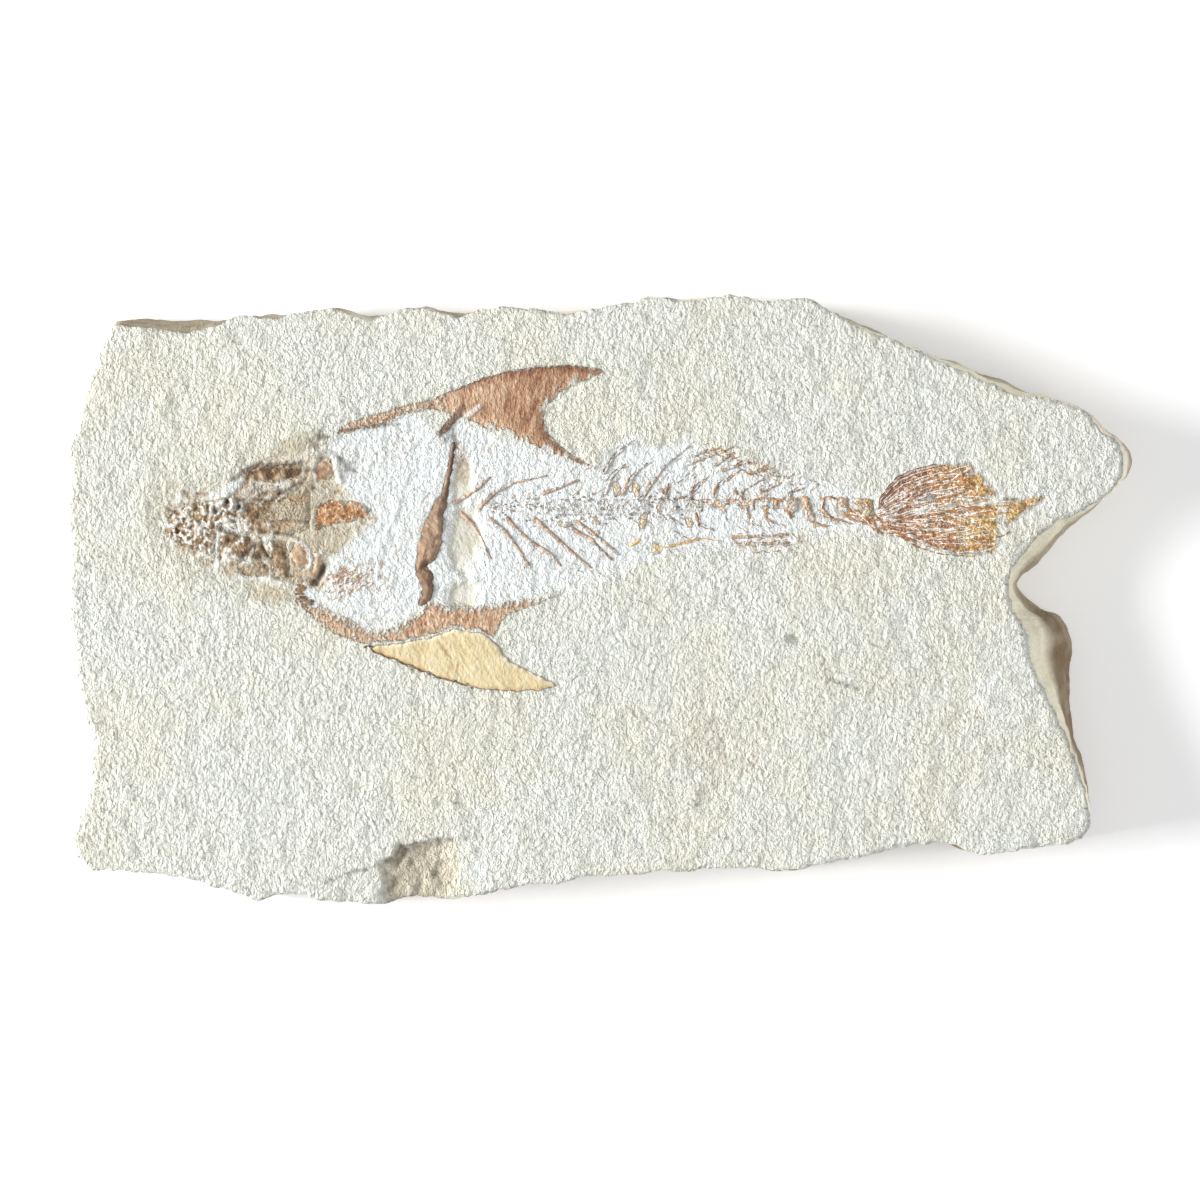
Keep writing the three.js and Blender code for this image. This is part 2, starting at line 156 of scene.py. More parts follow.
def onSpot(points, centre, radii, lean=0, seed=0, ragged=0.25):
    local = turned(points - np.array(centre), lean) / np.array(radii)
    distance = np.hypot(local[:, 0], local[:, 1])
    if ragged:
        distance = distance + ragged * rough(points, max(min(radii) * 0.6, 0.8), seed + 400, 2)
    return 1 - smoothstep(0.55, 1.15, distance)


# what the frame says

def boxOf(name):
    low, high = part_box(name)
    return np.array(low) / mm, np.array(high) / mm


boxes = {name: boxOf(name) for name in nodeNames}


# a place given as shares of a piece's own box
def at(name, u, v):
    low, high = boxes[name]
    return low[0] + (high[0] - low[0]) * u, low[1] + (high[1] - low[1]) * v


# a line of such places: a piece's name and then shares of its box, up to the next name
def trail(*words):
    places, name = [], None
    for word in words:
        if isinstance(word, str):
            name = word
        else:
            places.append(at(name, *word))
    return places


def cornersOf(name):
    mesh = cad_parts[name].data
    places = np.array([tuple(v.co) for v in mesh.vertices]) / mm
    mesh.calc_loop_triangles()
    triangles = np.array([tuple(t.vertices) for t in mesh.loop_triangles])
    keys, index = np.unique(np.round(places, 3), axis=0, return_inverse=True)
    return keys, index.reshape(-1)[triangles]


# the outer loop round the chosen triangles, anticlockwise
def loopAround(places, triangles):
    edges = {}
    for triangle in triangles.tolist():
        for k in range(3):
            edges[(triangle[k], triangle[(k + 1) % 3])] = True
    following = {a: b for a, b in edges if (b, a) not in edges}
    loops = []
    while following:
        start, here = following.popitem()
        loop = [start]
        while here != start:
            loop.append(here)
            here = following.pop(here)
        loops.append(places[loop, :2])
    return max(loops, key=lambda loop: np.ptp(loop[:, 0]))


def topOutline(name):
    places, triangles = cornersOf(name)
    flat = (places[triangles][:, :, 2] > places[:, 2].max() - 0.01).all(axis=1)
    return loopAround(places, triangles[flat])


outlines = {name: topOutline(name) for name in nodeNames if name != "slab"}
# the bar's edge is more ragged than its flat plate: up its front side, then down its back side
outlines["shoulder_bar"] = np.array([at("shoulder_bar", u, v) for u, v in (
    (0.20, 0.0), (0.36, 0.03), (0.45, 0.10), (0.44, 0.19), (0.26, 0.234), (0.50, 0.28), (0.65, 0.37),
    (0.67, 0.46), (0.70, 0.54), (0.78, 0.62), (0.84, 0.71), (0.91, 0.80), (0.98, 0.914), (1.0, 0.993),
    (0.93, 0.993), (0.86, 0.914), (0.80, 0.80), (0.66, 0.687), (0.47, 0.62), (0.26, 0.53), (0.17, 0.46),
    (0.08, 0.39), (0.02, 0.30), (-0.03, 0.22), (0.02, 0.166), (0.18, 0.098), (0.09, 0.03), (0.03, 0.0))])

skullNames = [
    "snout", "skull_roof", "brow_plate", "cheek", "upper_jaw", "lower_jaw", "jaw_wedge",
    "jaw_hinge", "gill_cover", "gill_rim", "nape_plate", "temple_plate",
]
finNames = ["upper_fin", "lower_fin", "lower_fin_lobe"]
tailNames = ["tail_upper_lobe", "tail_lower_lobe", "tail_tip_lobe"]
rustNames = ["tail_stem"] + [n for n in nodeNames if n.startswith(("dorsal_ray", "anal_ray"))]
bellyNames = [n for n in nodeNames if n.startswith("belly_bone")]
thinNames = [n for n in nodeNames if n.startswith(("rib_", "front_spine", "vertebra", "backbone"))]
print("frame read:", len(nodeNames), "nodes")

# the stone's rim, from the rings of the plain slab

slabLook = {
    "topHeight": boxes["slab"][1][2],
    "ringHeights": (0.0, 3.5, 9.0),
    "ridgeShare": 0.25,      # how far in the ridge lies, from the widest line to the top edge
    "faceStep": 0.8,         # spacing of the points on the face
    "fishStep": 0.46,        # and closer where the fish lies
    "rimStep": 0.72,
    "baseStep": 2.6,
    "rimWobble": 0.42,
    "sideCrag": 0.6,
    "plateBed": 0.62,        # how deep the stone lies under the skull, the bar and the fins
    "thinBed": 0.25,         # and under ribs, vertebrae and rays
    # rows of points down the sides: from which ring, and the share of the way to the next
    "sideRows": [(0, s) for s in (0.06, 0.2, 0.36, 0.52, 0.68, 0.84)] + [
        (1, 0.0), (1, 0.33), (1, 0.66), (2, 0.0), (2, 0.35), (2, 0.7), (3, 0.0)],
}


def ringAt(places, height):
    ring = places[np.abs(places[:, 2] - height) < 0.05][:, :2]
    return ring[np.argsort(np.arctan2(ring[:, 1], ring[:, 0]))]


def matched(ring, guide):
    turns = [np.hypot(*(np.roll(ring, k, axis=0) - guide).T).sum() for k in range(-3, 4)]
    return np.roll(ring, int(np.argmin(turns)) - 3, axis=0)


def smoothedRing(ring, reach):
    count = len(ring)
    span = int(3 * reach) + 1
    offsets = np.arange(-span, span + 1)
    weights = np.exp(-0.5 * (offsets / reach) ** 2)
    weights /= weights.sum()
    index = (np.arange(count)[:, None] + offsets) % count
    return (ring[index] * weights[:, None]).sum(axis=1)


def outwardOf(ring):
    along = np.roll(ring, -1, axis=0) - np.roll(ring, 1, axis=0)
    along /= np.maximum(np.hypot(along[:, 0], along[:, 1]), 1e-9)[:, None]
    return np.column_stack([along[:, 1], -along[:, 0]])


slabCorners, slabTriangles = cornersOf("slab")
baseRing, wideRing, ridgeRing = [ringAt(slabCorners, h) for h in slabLook["ringHeights"]]
baseRing, ridgeRing = matched(baseRing, wideRing), matched(ridgeRing, wideRing)
edgeRing = wideRing + (ridgeRing - wideRing) / slabLook["ridgeShare"]
print("rim rings:", len(baseRing), len(wideRing), len(ridgeRing))


def divided(ring, counts):
    out = []
    for k, count in enumerate(counts):
        shares = np.arange(count)[:, None] / count
        out.append(mixed(ring[k], ring[(k + 1) % len(ring)], shares))
    return np.vstack(out)


sideLengths = np.hypot(*(np.roll(edgeRing, -1, axis=0) - edgeRing).T)
sideCounts = np.maximum(np.round(sideLengths / slabLook["rimStep"]), 1).astype(int)
rimRings = [smoothedRing(divided(r, sideCounts), 0.8) for r in (edgeRing, ridgeRing, wideRing, baseRing)]
rimOut = smoothedRing(outwardOf(rimRings[0]), 2.0)
edgeWave = rough(rimRings[0], 6.0, 3, 4, 0.72) * slabLook["rimWobble"]
slabLow, slabHigh = boxes["slab"][0][:2] + 0.02, boxes["slab"][1][:2] - 0.02
for share, reach, deep in ((0.189, 5.0, 0.9), (0.273, 5.0, 0.8), (0.35, 7.0, 1.0)):
    away = np.abs(rimRings[0][:, 0] - at("slab", share, 1)[0]) / reach
    edgeWave -= deep * (1 - smoothstep(0.4, 1.2, away)) * (rimOut[:, 1] > 0.5)
topRim = np.clip(rimRings[0] + rimOut * (edgeWave - 0.05)[:, None], slabLow, slabHigh)

# the chip on the lower edge, from the tilted facet of the plain slab

chipNormals = np.cross(
    slabCorners[slabTriangles[:, 1]] - slabCorners[slabTriangles[:, 0]],
    slabCorners[slabTriangles[:, 2]] - slabCorners[slabTriangles[:, 0]],
)
chipNormals /= np.maximum(np.linalg.norm(chipNormals, axis=1), 1e-9)[:, None]
tilted = (chipNormals[:, 2] > 0.95) & (chipNormals[:, 2] < 0.99)
chipOutline = loopAround(slabCorners, slabTriangles[tilted])
chipLow, chipHigh = chipOutline.min(0), chipOutline.max(0)
chipHollow = mixed(chipLow, chipHigh, np.array([0.38, 0.46]))
print("chip facet:", chipLow.round(1), chipHigh.round(1))

# the body's outline: where the fish lay, cleaned by the preparer and white with dust

bodyOutline = np.array(trail("nape_plate", (0.3, 1.0), "upper_fin", (0.0, 0.30), (0.14, 0.40), (0.26, 0.55),
                             (0.37, 0.35), (0.47, 0.49), (0.62, 0.30), (0.78, 0.16), (0.96, 0.03),
                             "front_spine_1", (0.6, 0.85), "front_spine_4", (0.6, 1.0),
                             "dorsal_ray_1", (0.6, 1.0), "dorsal_ray_3", (1.0, 0.8),
                             "dorsal_ray_4", (1.1, 0.4), "vertebra_5", (1.0, 1.0), "vertebra_6", (1.1, 1.1),
                             "vertebra_9", (0.4, 1.2), "tail_stem", (0.3, 1.0), (0.5, 0.1),
                             "vertebra_8", (0.6, -0.1), "vertebra_6", (0.6, -0.4),
                             "anal_ray_2", (1.0, -0.2), (0.0, -0.1), "belly_bone_2", (0.5, -0.2),
                             "belly_bone_1", (0.0, -0.3), "rib_below_5", (1.0, -0.3),
                             "rib_below_3", (1.0, -0.6), "lower_fin", (0.98, 1.0), (0.83, 0.82),
                             (0.65, 0.72), (0.50, 0.82), (0.40, 0.40), (0.28, 0.25), (0.20, 0.42),
                             (0.09, 0.62), (0.0, 0.95), "gill_cover", (0.4, -0.4), "gill_rim", (0.2, 0.0),
                             (0.9, 0.7), "temple_plate", (0.1, 0.0), (0.0, 1.0), "nape_plate", (0.0, 0.0)))

faceLook = {
    "lean": -12,             # the needle marks lean this far off the slab's short way
    "needleSize": (1.1, 1.3),
    "needleHeight": 0.165,
    "lumpHeight": 0.20,
    "bodyDrop": 0.3,
}

pitSpot = at("slab", 0.682, 0.433)
roughSpot = at("slab", 0.034, 0.331)
chalkSpot = at("slab", 0.863, 0.342)
streakSpot = at("slab", 0.5345, 0.116)
tanSpot = at("slab", 0.596, 0.254)
scratchLine = trail("slab", (0.713, 0.367), (0.728, 0.360), (0.741, 0.353))
hollowSpots = [
    (at("shoulder_bar", 1.30, 0.40), (4.4, 9.0), 8),
    (at("shoulder_bar", 1.22, 0.74), (2.6, 6.5), 4),
    (at("shoulder_bar", 1.25, 0.06), (4.0, 3.6), 0),
]
# dark brown films on the stone by the nape and above the bar
darkSpots = [
    (at("nape_plate", 0.42, 1.85), (1.5, 1.5), -10, 0.75),
    (at("nape_plate", 0.10, 1.50), (2.4, 0.9), 35, 0.45),
    (at("nape_plate", 1.6, 0.62), (2.2, 0.7), -50, 0.45),
    (at("shoulder_bar", 0.62, 1.03), (1.3, 0.8), 40, 0.6),
]
# brown stains along the backbone, the root of the tail and the rays under it: line, width, strength
stainLines = [
    (trail("backbone_front", (0.2, 0.5), (1.0, 0.5), "vertebra_1", (0.5, 0.5), "vertebra_2", (0.5, 0.55),
           "vertebra_3", (0.5, 0.42), "vertebra_4", (0.4, 0.6)), 2.4, 0.38),
    (trail("vertebra_4", (0.4, 0.6), "vertebra_5", (0.4, 0.6), "vertebra_6", (0.3, 0.55),
           "vertebra_8", (0.2, 0.6), "vertebra_9", (0.3, 0.6), "tail_stem", (1.0, 0.1)), 2.6, 0.48),
    (trail("anal_ray_2", (0.0, 0.4), (0.6, 1.0), (1.2, 1.4)), 2.0, 0.55),
    (trail("belly_bone_1", (0.2, 0.5), "belly_bone_2", (0.3, 0.35), (1.2, 0.8)), 1.0, 0.35),
]
headRim = np.array(trail("snout", (0.1, 1.0), (0.9, 1.1), "skull_roof", (0.1, 0.9), (0.8, 1.1),
                         "nape_plate", (0.2, 1.2), (1.1, 0.9), "temple_plate", (0.5, 1.2), (1.05, 0.4),
                         "gill_rim", (1.3, 0.8), (1.0, -0.2), "gill_cover", (0.3, -0.4),
                         "lower_jaw", (0.9, -0.3), (0.0, -0.1), "snout", (0.5, -0.05), (0.1, 0.3),
                         (-0.03, 0.5)))


def needleMarks(points):
    leaning = turned(shaken(points, 0.4, (3.1, 3.1), (41, 42)), faceLook["lean"])
    size = np.array(faceLook["needleSize"])
    return grain(leaning, size, 43) + 0.8 * grain(leaning, size * 1.9, 44)


# cracks (dark, cut in) and crests (pale, raised) that run over bone and stone alike, and painted shadow
# under the gill rim
creases = [
    # line, width, height, how dark, how pale
    (trail("skull_roof", (-0.19, 0.47), (0.07, 0.80), (0.3, 0.98)), 0.8, -0.3, 0.8, 0),
    (trail("skull_roof", (0.41, 0.93), (0.7, 0.96), (0.98, 1.02)), 0.8, -0.3, 0.7, 0),
    (trail("brow_plate", (-0.2, -0.1), (0.25, -0.2), (0.64, -0.19)), 0.5, -0.3, 0.9, 0),
    (trail("brow_plate", (0.64, -0.19), (0.9, 0.2), "skull_roof", (0.78, 0.25),
           (0.97, 0.42)), 0.55, -0.3, 0.85, 0),
    (trail("brow_plate", (0.95, -0.25), "skull_roof", (0.8, 0.12), (0.93, 0.26)), 0.5, -0.2, 0.7, 0),
    (trail("upper_jaw", (0.04, 1.02), (0.35, 0.95), (0.66, 0.82)), 0.6, -0.3, 0.8, 0),
    (trail("jaw_wedge", (0.55, 0.95), (0.66, 0.6), (1.05, 0.0)), 0.5, -0.3, 0.85, 0),
    (trail("jaw_wedge", (0.05, 0.9), (0.4, 0.35), (0.75, -0.3)), 0.5, -0.25, 0.6, 0),
    (trail("cheek", (0.41, 0.27), (0.7, 0.30), (0.96, 0.27)), 0.45, -0.15, 0.5, 0),
    (trail("cheek", (0.5, 0.05), (0.75, 0.02), "gill_cover", (0.5, 1.02)), 0.5, -0.2, 0.6, 0),
    # painted shadow along the lower edge of the gill rim, over a slit cut in
    (trail("gill_rim", (0.98, 0.50), (0.85, 0.25), (0.40, -0.02)), 1.1, -0.6, 1.0, 0),
    (trail("nape_plate", (0.95, 1.22), (1.4, 0.85), (1.95, 0.40)), 0.8, -0.3, 0.55, 0),
    (trail("upper_fin", (0.01, 0.36), (0.10, 0.40), (0.24, 0.43)), 0.45, -0.1, 0.6, 0),
    (trail("shoulder_bar", (0.25, 0.26), (0.12, 0.21)), 0.8, -0.3, 0.6, 0),
    (trail("shoulder_bar", (0.60, 1.04), (0.83, 1.09), (0.99, 1.14), (1.2, 1.2)), 1.15, 0.3, 0.8, 0),
    (trail("shoulder_bar", (0.95, 1.07), (1.04, 0.98), (1.03, 0.87)), 0.5, -0.15, 0.65, 0),
    (trail("shoulder_bar", (0.72, 1.0), (0.9, 1.03), (1.0, 1.0)), 0.9, 0.2, 0.5, 0),
    (trail("shoulder_bar", (1.12, 1.10), (1.4, 1.16), (1.66, 1.21)), 0.8, 0.3, 0, 0.8),
    (trail("lower_fin_lobe", (0.37, 0.79), (0.40, 0.65), (0.44, 0.52)), 0.3, -0.08, 0.55, 0),
    (trail("lower_fin_lobe", (0.48, 0.46), (0.47, 0.30), (0.50, 0.17)), 0.3, -0.08, 0.4, 0),
    (trail("nape_plate", (1.02, 1.07), (1.10, 0.55), (1.22, 0.02)), 0.9, 0.45, 0, 0.9),
    (trail("nape_plate", (0.25, 1.2), (0.0, 0.5), (0.15, 0.0)), 0.7, 0.2, 0, 0.5),
    (trail("skull_roof", (-0.42, 0.02), (-0.22, 0.2), (-0.08, 0.45)), 1.7, 0.4, 0, 0.85),
    (trail("snout", (0.8, 0.58), (0.93, 0.48), "upper_jaw", (0.75, 1.15)), 1.5, 0.35, 0, 0.8),
    (trail("skull_roof", (0.2, 0.18), (0.45, 0.22), (0.62, 0.30)), 1.1, 0.3, 0, 0.75),
    (trail("jaw_wedge", (0.75, 0.95), (1.0, 0.85), (1.05, 0.5)), 1.0, 0.3, 0, 0.9),
    (trail("gill_cover", (0.0, 1.05), (0.6, 0.95), (0.98, 0.65), (1.1, 0.35)), 0.6, 0.3, 0, 0.8),
    (trail("gill_rim", (0.1, 0.5), (0.45, 0.85), (0.85, 0.95)), 0.6, 0.3, 0, 0.8),
    (trail("upper_jaw", (0.2, 0.35), (0.55, 0.2), "lower_jaw", (0.4, 1.05)), 1.2, 0.25, 0, 0.6),
    (trail("lower_jaw", (0.05, 0.1), (0.5, -0.12), (1.0, 0.0)), 0.9, 0.25, 0, 0.7),
    (trail("lower_jaw", (0.9, 0.0), "jaw_hinge", (0.3, 0.05), (0.6, -0.05)), 0.9, 0.25, 0, 0.7),
]


def creaseMarks(points):
    lift, dark, pale = np.zeros(len(points)), np.zeros(len(points)), np.zeros(len(points))
    bent = shaken(points, 0.22, (1.1, 1.1), (45, 46))
    for line, width, height, howDark, howPale in creases:
        strength = onLine(bent, line, width)
        lift += height * strength
        dark = np.maximum(dark, howDark * strength)
        pale = np.maximum(pale, howPale * strength)
    return lift, dark, pale


# kinds of ground in the head: place, radii, lean, then brown, clay, chalk white and roughness
headGround = [
    (at("skull_roof", 0.35, 0.80), (9.5, 3.0), 18, 1.0, 0.15, 0.0, 0.8),
    (at("skull_roof", 0.60, 0.20), (6.0, 2.0), 12, 0.35, 0.1, 0.5, 0.7),
    (at("cheek", 0.08, 0.34), (6.0, 4.2), 0, 0.55, 0.5, 0.35, 1.2),
    (at("cheek", 0.78, 0.45), (5.0, 6.0), 0, 0.12, 0.95, 0.0, 0.18),
    (at("upper_jaw", 0.50, 0.60), (6.0, 3.4), 0, 0.45, 0.1, 0.65, 1.1),
    (at("jaw_wedge", 0.50, 0.60), (3.4, 3.4), 0, 0.5, 0.2, 0.4, 0.8),
    (at("lower_jaw", 0.50, 0.50), (5.0, 2.2), 0, 0.3, 0.7, 0.1, 0.25),
    (at("jaw_hinge", 0.50, 0.50), (3.2, 5.0), 0, 0.6, 0.2, 0.25, 0.6),
    (at("gill_cover", 0.50, 0.40), (4.0, 4.5), -30, 0.6, 0.3, 0.1, 0.3),
    (at("gill_rim", 0.50, 0.50), (3.0, 3.8), 0, 0.5, 0.3, 0.15, 0.3),
    (at("gill_rim", 1.10, 1.35), (5.5, 5.0), 0, 0.1, 0.95, 0.0, 0.3),
    (at("temple_plate", 0.45, 0.5), (8.0, 5.0), 0, 0.35, 0.35, 0.2, 0.7),
    (at("nape_plate", 0.60, 0.45), (5.0, 4.0), 0, 0.45, 0.45, 0.1, 0.5),
    (at("snout", 0.50, 0.50), (9.5, 8.5), 0, 0.6, 0.0, 0.6, 1.3),
]
# round pits with pale lips near the snout
sockets = [(at("snout", 0.68, 0.76), 1.15), (at("snout", 0.83, 0.84), 1.25), (at("snout", 0.98, 0.80), 0.8)]


def headLook(points):
    inHead = smoothstep(-1.4, 0.9, depthInside(points, headRim) + 0.6 * rough(points, 3.4, 81, 3))
    total, sums = np.full(len(points), 0.05), np.zeros((4, len(points)))
    sums += 0.05 * np.array([[0.4], [0.5], [0.1], [0.6]])
    for centre, radii, lean, brown, clay, chalk, roughShare in headGround:
        weight = onSpot(points, centre, radii, lean, 63, 0.3) + 1e-4
        total += weight
        sums += weight * np.array([[brown], [clay], [chalk], [roughShare]])
    brown, clay, chalk, roughShare = sums / total
    return inHead, brown, clay, chalk, roughShare


def headRock(points):
    return rough(points, 2.3, 62, 3, 0.62) + 0.5 * rough(points, 6.0, 66, 1)


def socketMarks(points):
    pit, lip = np.zeros(len(points)), np.zeros(len(points))
    for centre, radius in sockets:
        away = np.hypot(*(points - np.array(centre)).T) * (1 + 0.2 * grain(points, 1.2, 64)) / radius
        pit = np.maximum(pit, 1 - smoothstep(0.4, 0.95, away))
        lip = np.maximum(lip, smoothstep(0.7, 1.0, away) * (1 - smoothstep(1.15, 1.6, away)))
    return pit, lip


def depthUnder(points, names, reach):
    deepest = np.full(len(points), -float(reach))
    for name in names:
        low, high = outlines[name].min(0) - reach, outlines[name].max(0) + reach
        close = ((points > low) & (points < high)).all(axis=1)
        if close.any():
            deepest[close] = np.maximum(deepest[close], depthInside(points[close], outlines[name]))
    return deepest


# the smooth hollows behind the bar
def hollowShare(points):
    return strongest(*[onSpot(points, centre, radii, lean, 52, 0.12) for centre, radii, lean in hollowSpots])


# height of the stone's own surface, before any bone
def faceHeight(points):
    inBody = smoothstep(-1.2, 1.6, depthInside(points, bodyOutline) + 0.5 * grain(points, 2.6, 51))
    hollow = hollowShare(points)
    inHead, *_, roughShare = headLook(points)
    inFin = smoothstep(-0.4, 0.8, depthUnder(points, finNames, 2))
    calm = (1 - 0.7 * hollow) * (1 - 0.8 * inHead) * (1 - 0.75 * inFin) * (1 - 0.42 * inBody)
    height = slabLook["topHeight"] - 0.14 + 0.16 * rough(points, 38, 53, 2) + 0.10 * rough(points, 11, 54, 2)
    height += calm * (faceLook["needleHeight"] * needleMarks(points)
                      + faceLook["lumpHeight"] * rough(points, 4.4, 55, 2))
    front = 1 - smoothstep(-4, 4, points[:, 0] - at("shoulder_bar", 0.3, 0.5)[0])
    height += calm * inBody * (0.10 + 0.10 * front) * rough(turned(points, 25), (1.7, 3.0), 67, 3)
    height -= faceLook["bodyDrop"] * inBody + 0.55 * hollow
    height += 0.12 * inBody * grain(turned(points, 12), (2.2, 5.0), 56)
    height -= 0.9 * onSpot(points, pitSpot, (2.6, 1.1), 20, 57)
    height += 0.35 * onSpot(points, pitSpot + np.array([-2.6, 0.4]), (1.2, 1.3), 0, 58)
    height -= 0.5 * onSpot(points, roughSpot, (5.0, 5.5), 0, 59) * (0.5 + 0.5 * rough(points, 2.4, 60, 2))
    height += 0.25 * onSpot(points, chalkSpot, (4.0, 6.0), -20, 61)
    height -= 0.25 * onLine(points, scratchLine, 0.8)
    pit, lip = socketMarks(points)
    height += inHead * (0.05 + 0.26 * roughShare * headRock(points) - 0.6 * pit + 0.3 * lip)
    outside = smoothstep(-4.5, -0.5, depthInside(points, headRim)) * (1 - inHead) * (1 - inBody)
    return height - 0.35 * outside + creaseMarks(points)[0]


# how far the chip lies under the face, with its broken steps
def chipDrop(points):
    drop = np.zeros(len(points))
    close = ((points > chipLow - 6) & (points < chipHigh + 6)).all(axis=1)
    if not close.any():
        return drop
    near = points[close]
    grown = chipOutline.copy()
    grown[grown[:, 1] < grown[:, 1].mean() - 1, 1] -= 8
    depth = depthInside(near, grown) + 0.5 * rough(near, 3.0, 71, 3)
    share = (near[:, 0] - chipLow[0]) / (chipHigh[0] - chipLow[0]) + 0.02 * rough(near, 4.0, 75, 2)
    hollow = smoothstep(0.20, 0.255, share) * (1 - smoothstep(0.36, 0.56, share))
    ridges = grain(turned(near, 32), (1.5, 5.5), 76) + 0.6 * grain(turned(near, 20), (0.8, 2.4), 77)
    below = 0.30 + 0.25 * rough(near, 5.0, 72, 2) + 1.5 * hollow + (0.12 + 0.42 * hollow) * ridges
    below *= 1 - 0.85 * smoothstep(0.5, 0.75, share)
    drop[close] = np.maximum(below, 0.0) * smoothstep(-0.1, 0.8, depth)
    return drop


# meshes

def scattered(low, high, step, seed):
    rows = []
    for k, y in enumerate(np.arange(low[1], high[1], step * 0.866)):
        xs = np.arange(low[0] + (k % 2) * step / 2, high[0], step)
        rows.append(np.column_stack([xs, np.full(len(xs), y)]))
    inner = np.vstack(rows)
    return inner + np.random.default_rng(seed).uniform(-0.22, 0.22, inner.shape) * step


# a flat net of triangles inside an outline; fine says where a closer spacing is wanted
def patch(outline, step, seed, guide=None, margin=0.55, fine=None, fineStep=0.5):
    low, high = outline.min(0), outline.max(0)
    inner = scattered(low, high, step, seed)
    if fine is not None:
        close = scattered(low, high, fineStep, seed + 1)
        inner = np.vstack([inner[~fine(inner)], close[fine(close)]])
    inner = inner[depthInside(inner, outline if guide is None else guide) > step * margin]
    points = np.vstack([outline, inner])
    edges = [(k, (k + 1) % len(outline)) for k in range(len(outline))]
    made = delaunay_2d_cdt([Vector(p) for p in points.tolist()], edges, [], 1, 1e-7)
    if len(made[0]) != len(points):
        points = np.array([tuple(v) for v in made[0]])
    triangles = np.array(made[2], dtype=int).reshape(-1, 3)
    a, b, c = points[triangles[:, 0]], points[triangles[:, 1]], points[triangles[:, 2]]
    area = (b[:, 0] - a[:, 0]) * (c[:, 1] - a[:, 1]) - (b[:, 1] - a[:, 1]) * (c[:, 0] - a[:, 0])
    triangles[area < 0] = triangles[area < 0][:, ::-1]
    return points, triangles


def bandBetween(first, second, count):
    here, following = np.arange(count), (np.arange(count) + 1) % count
    return np.vstack([
        np.column_stack([first + here, second + here, second + following]),
        np.column_stack([first + here, second + following, first + following]),
    ])


def makeMesh(name, places, triangles, attributes, finish):
    mesh = bpy.data.meshes.new(name)
    mesh.vertices.add(len(places))
    mesh.vertices.foreach_set("co", (np.asarray(places) * mm).astype(np.float32).ravel())
    mesh.loops.add(len(triangles) * 3)
    mesh.loops.foreach_set("vertex_index", np.asarray(triangles, dtype=np.int32).ravel())
    mesh.polygons.add(len(triangles))
    mesh.polygons.foreach_set("loop_start", np.arange(0, len(triangles) * 3, 3, dtype=np.int32))
    mesh.polygons.foreach_set("use_smooth", np.ones(len(triangles), dtype=bool))
    mesh.update(calc_edges=True)
    for key, values in attributes.items():
        layer = mesh.attributes.new(key, "FLOAT", "POINT")
        layer.data.foreach_set("value", np.clip(values, 0, 1).astype(np.float32))
    mesh.materials.append(finish)
    piece = bpy.data.objects.new(name, mesh)
    bpy.context.scene.collection.objects.link(piece)
    return piece


def densified(outline, step):
    lengths = np.hypot(*(np.roll(outline, -1, axis=0) - outline).T)
    return divided(outline, np.maximum(np.round(lengths / step), 1).astype(int))


def settle(piece, slotName, *nodes):
    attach(piece, "root")
    if nodes:
        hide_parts(*nodes)


# finishes

def tint(red, green, blue):
    shares = [c / 255 for c in (red, green, blue)]
    return tuple(s / 12.92 if s <= 0.04045 else ((s + 0.055) / 1.055) ** 2.4 for s in shares) + (1.0,)


# a socket that sums can be written with
class Shade:
    def __init__(self, make, socket):
        self.make, self.socket = make, socket

    def sum(self, operation, first, second, held=False):
        return self.make.node("ShaderNodeMath", {"operation": operation, "use_clamp": held},
                              {0: first, 1: second})

    def __add__(self, other):
        return self.sum("ADD", self, other)

    def __radd__(self, other):
        return self.sum("ADD", other, self)

    def __sub__(self, other):
        return self.sum("SUBTRACT", self, other)

    def __rsub__(self, other):
        return self.sum("SUBTRACT", other, self)

    def __mul__(self, other):
        return self.sum("MULTIPLY", self, other)

    def __rmul__(self, other):
        return self.sum("MULTIPLY", other, self)

    def clamped(self):
        return self.sum("ADD", self, 0.0, True)

    def between(self, low, high):
        return self.make.node("ShaderNodeMapRange", {"interpolation_type": "SMOOTHSTEP"},
                              {"Value": self, "From Min": low, "From Max": high}, "Result")


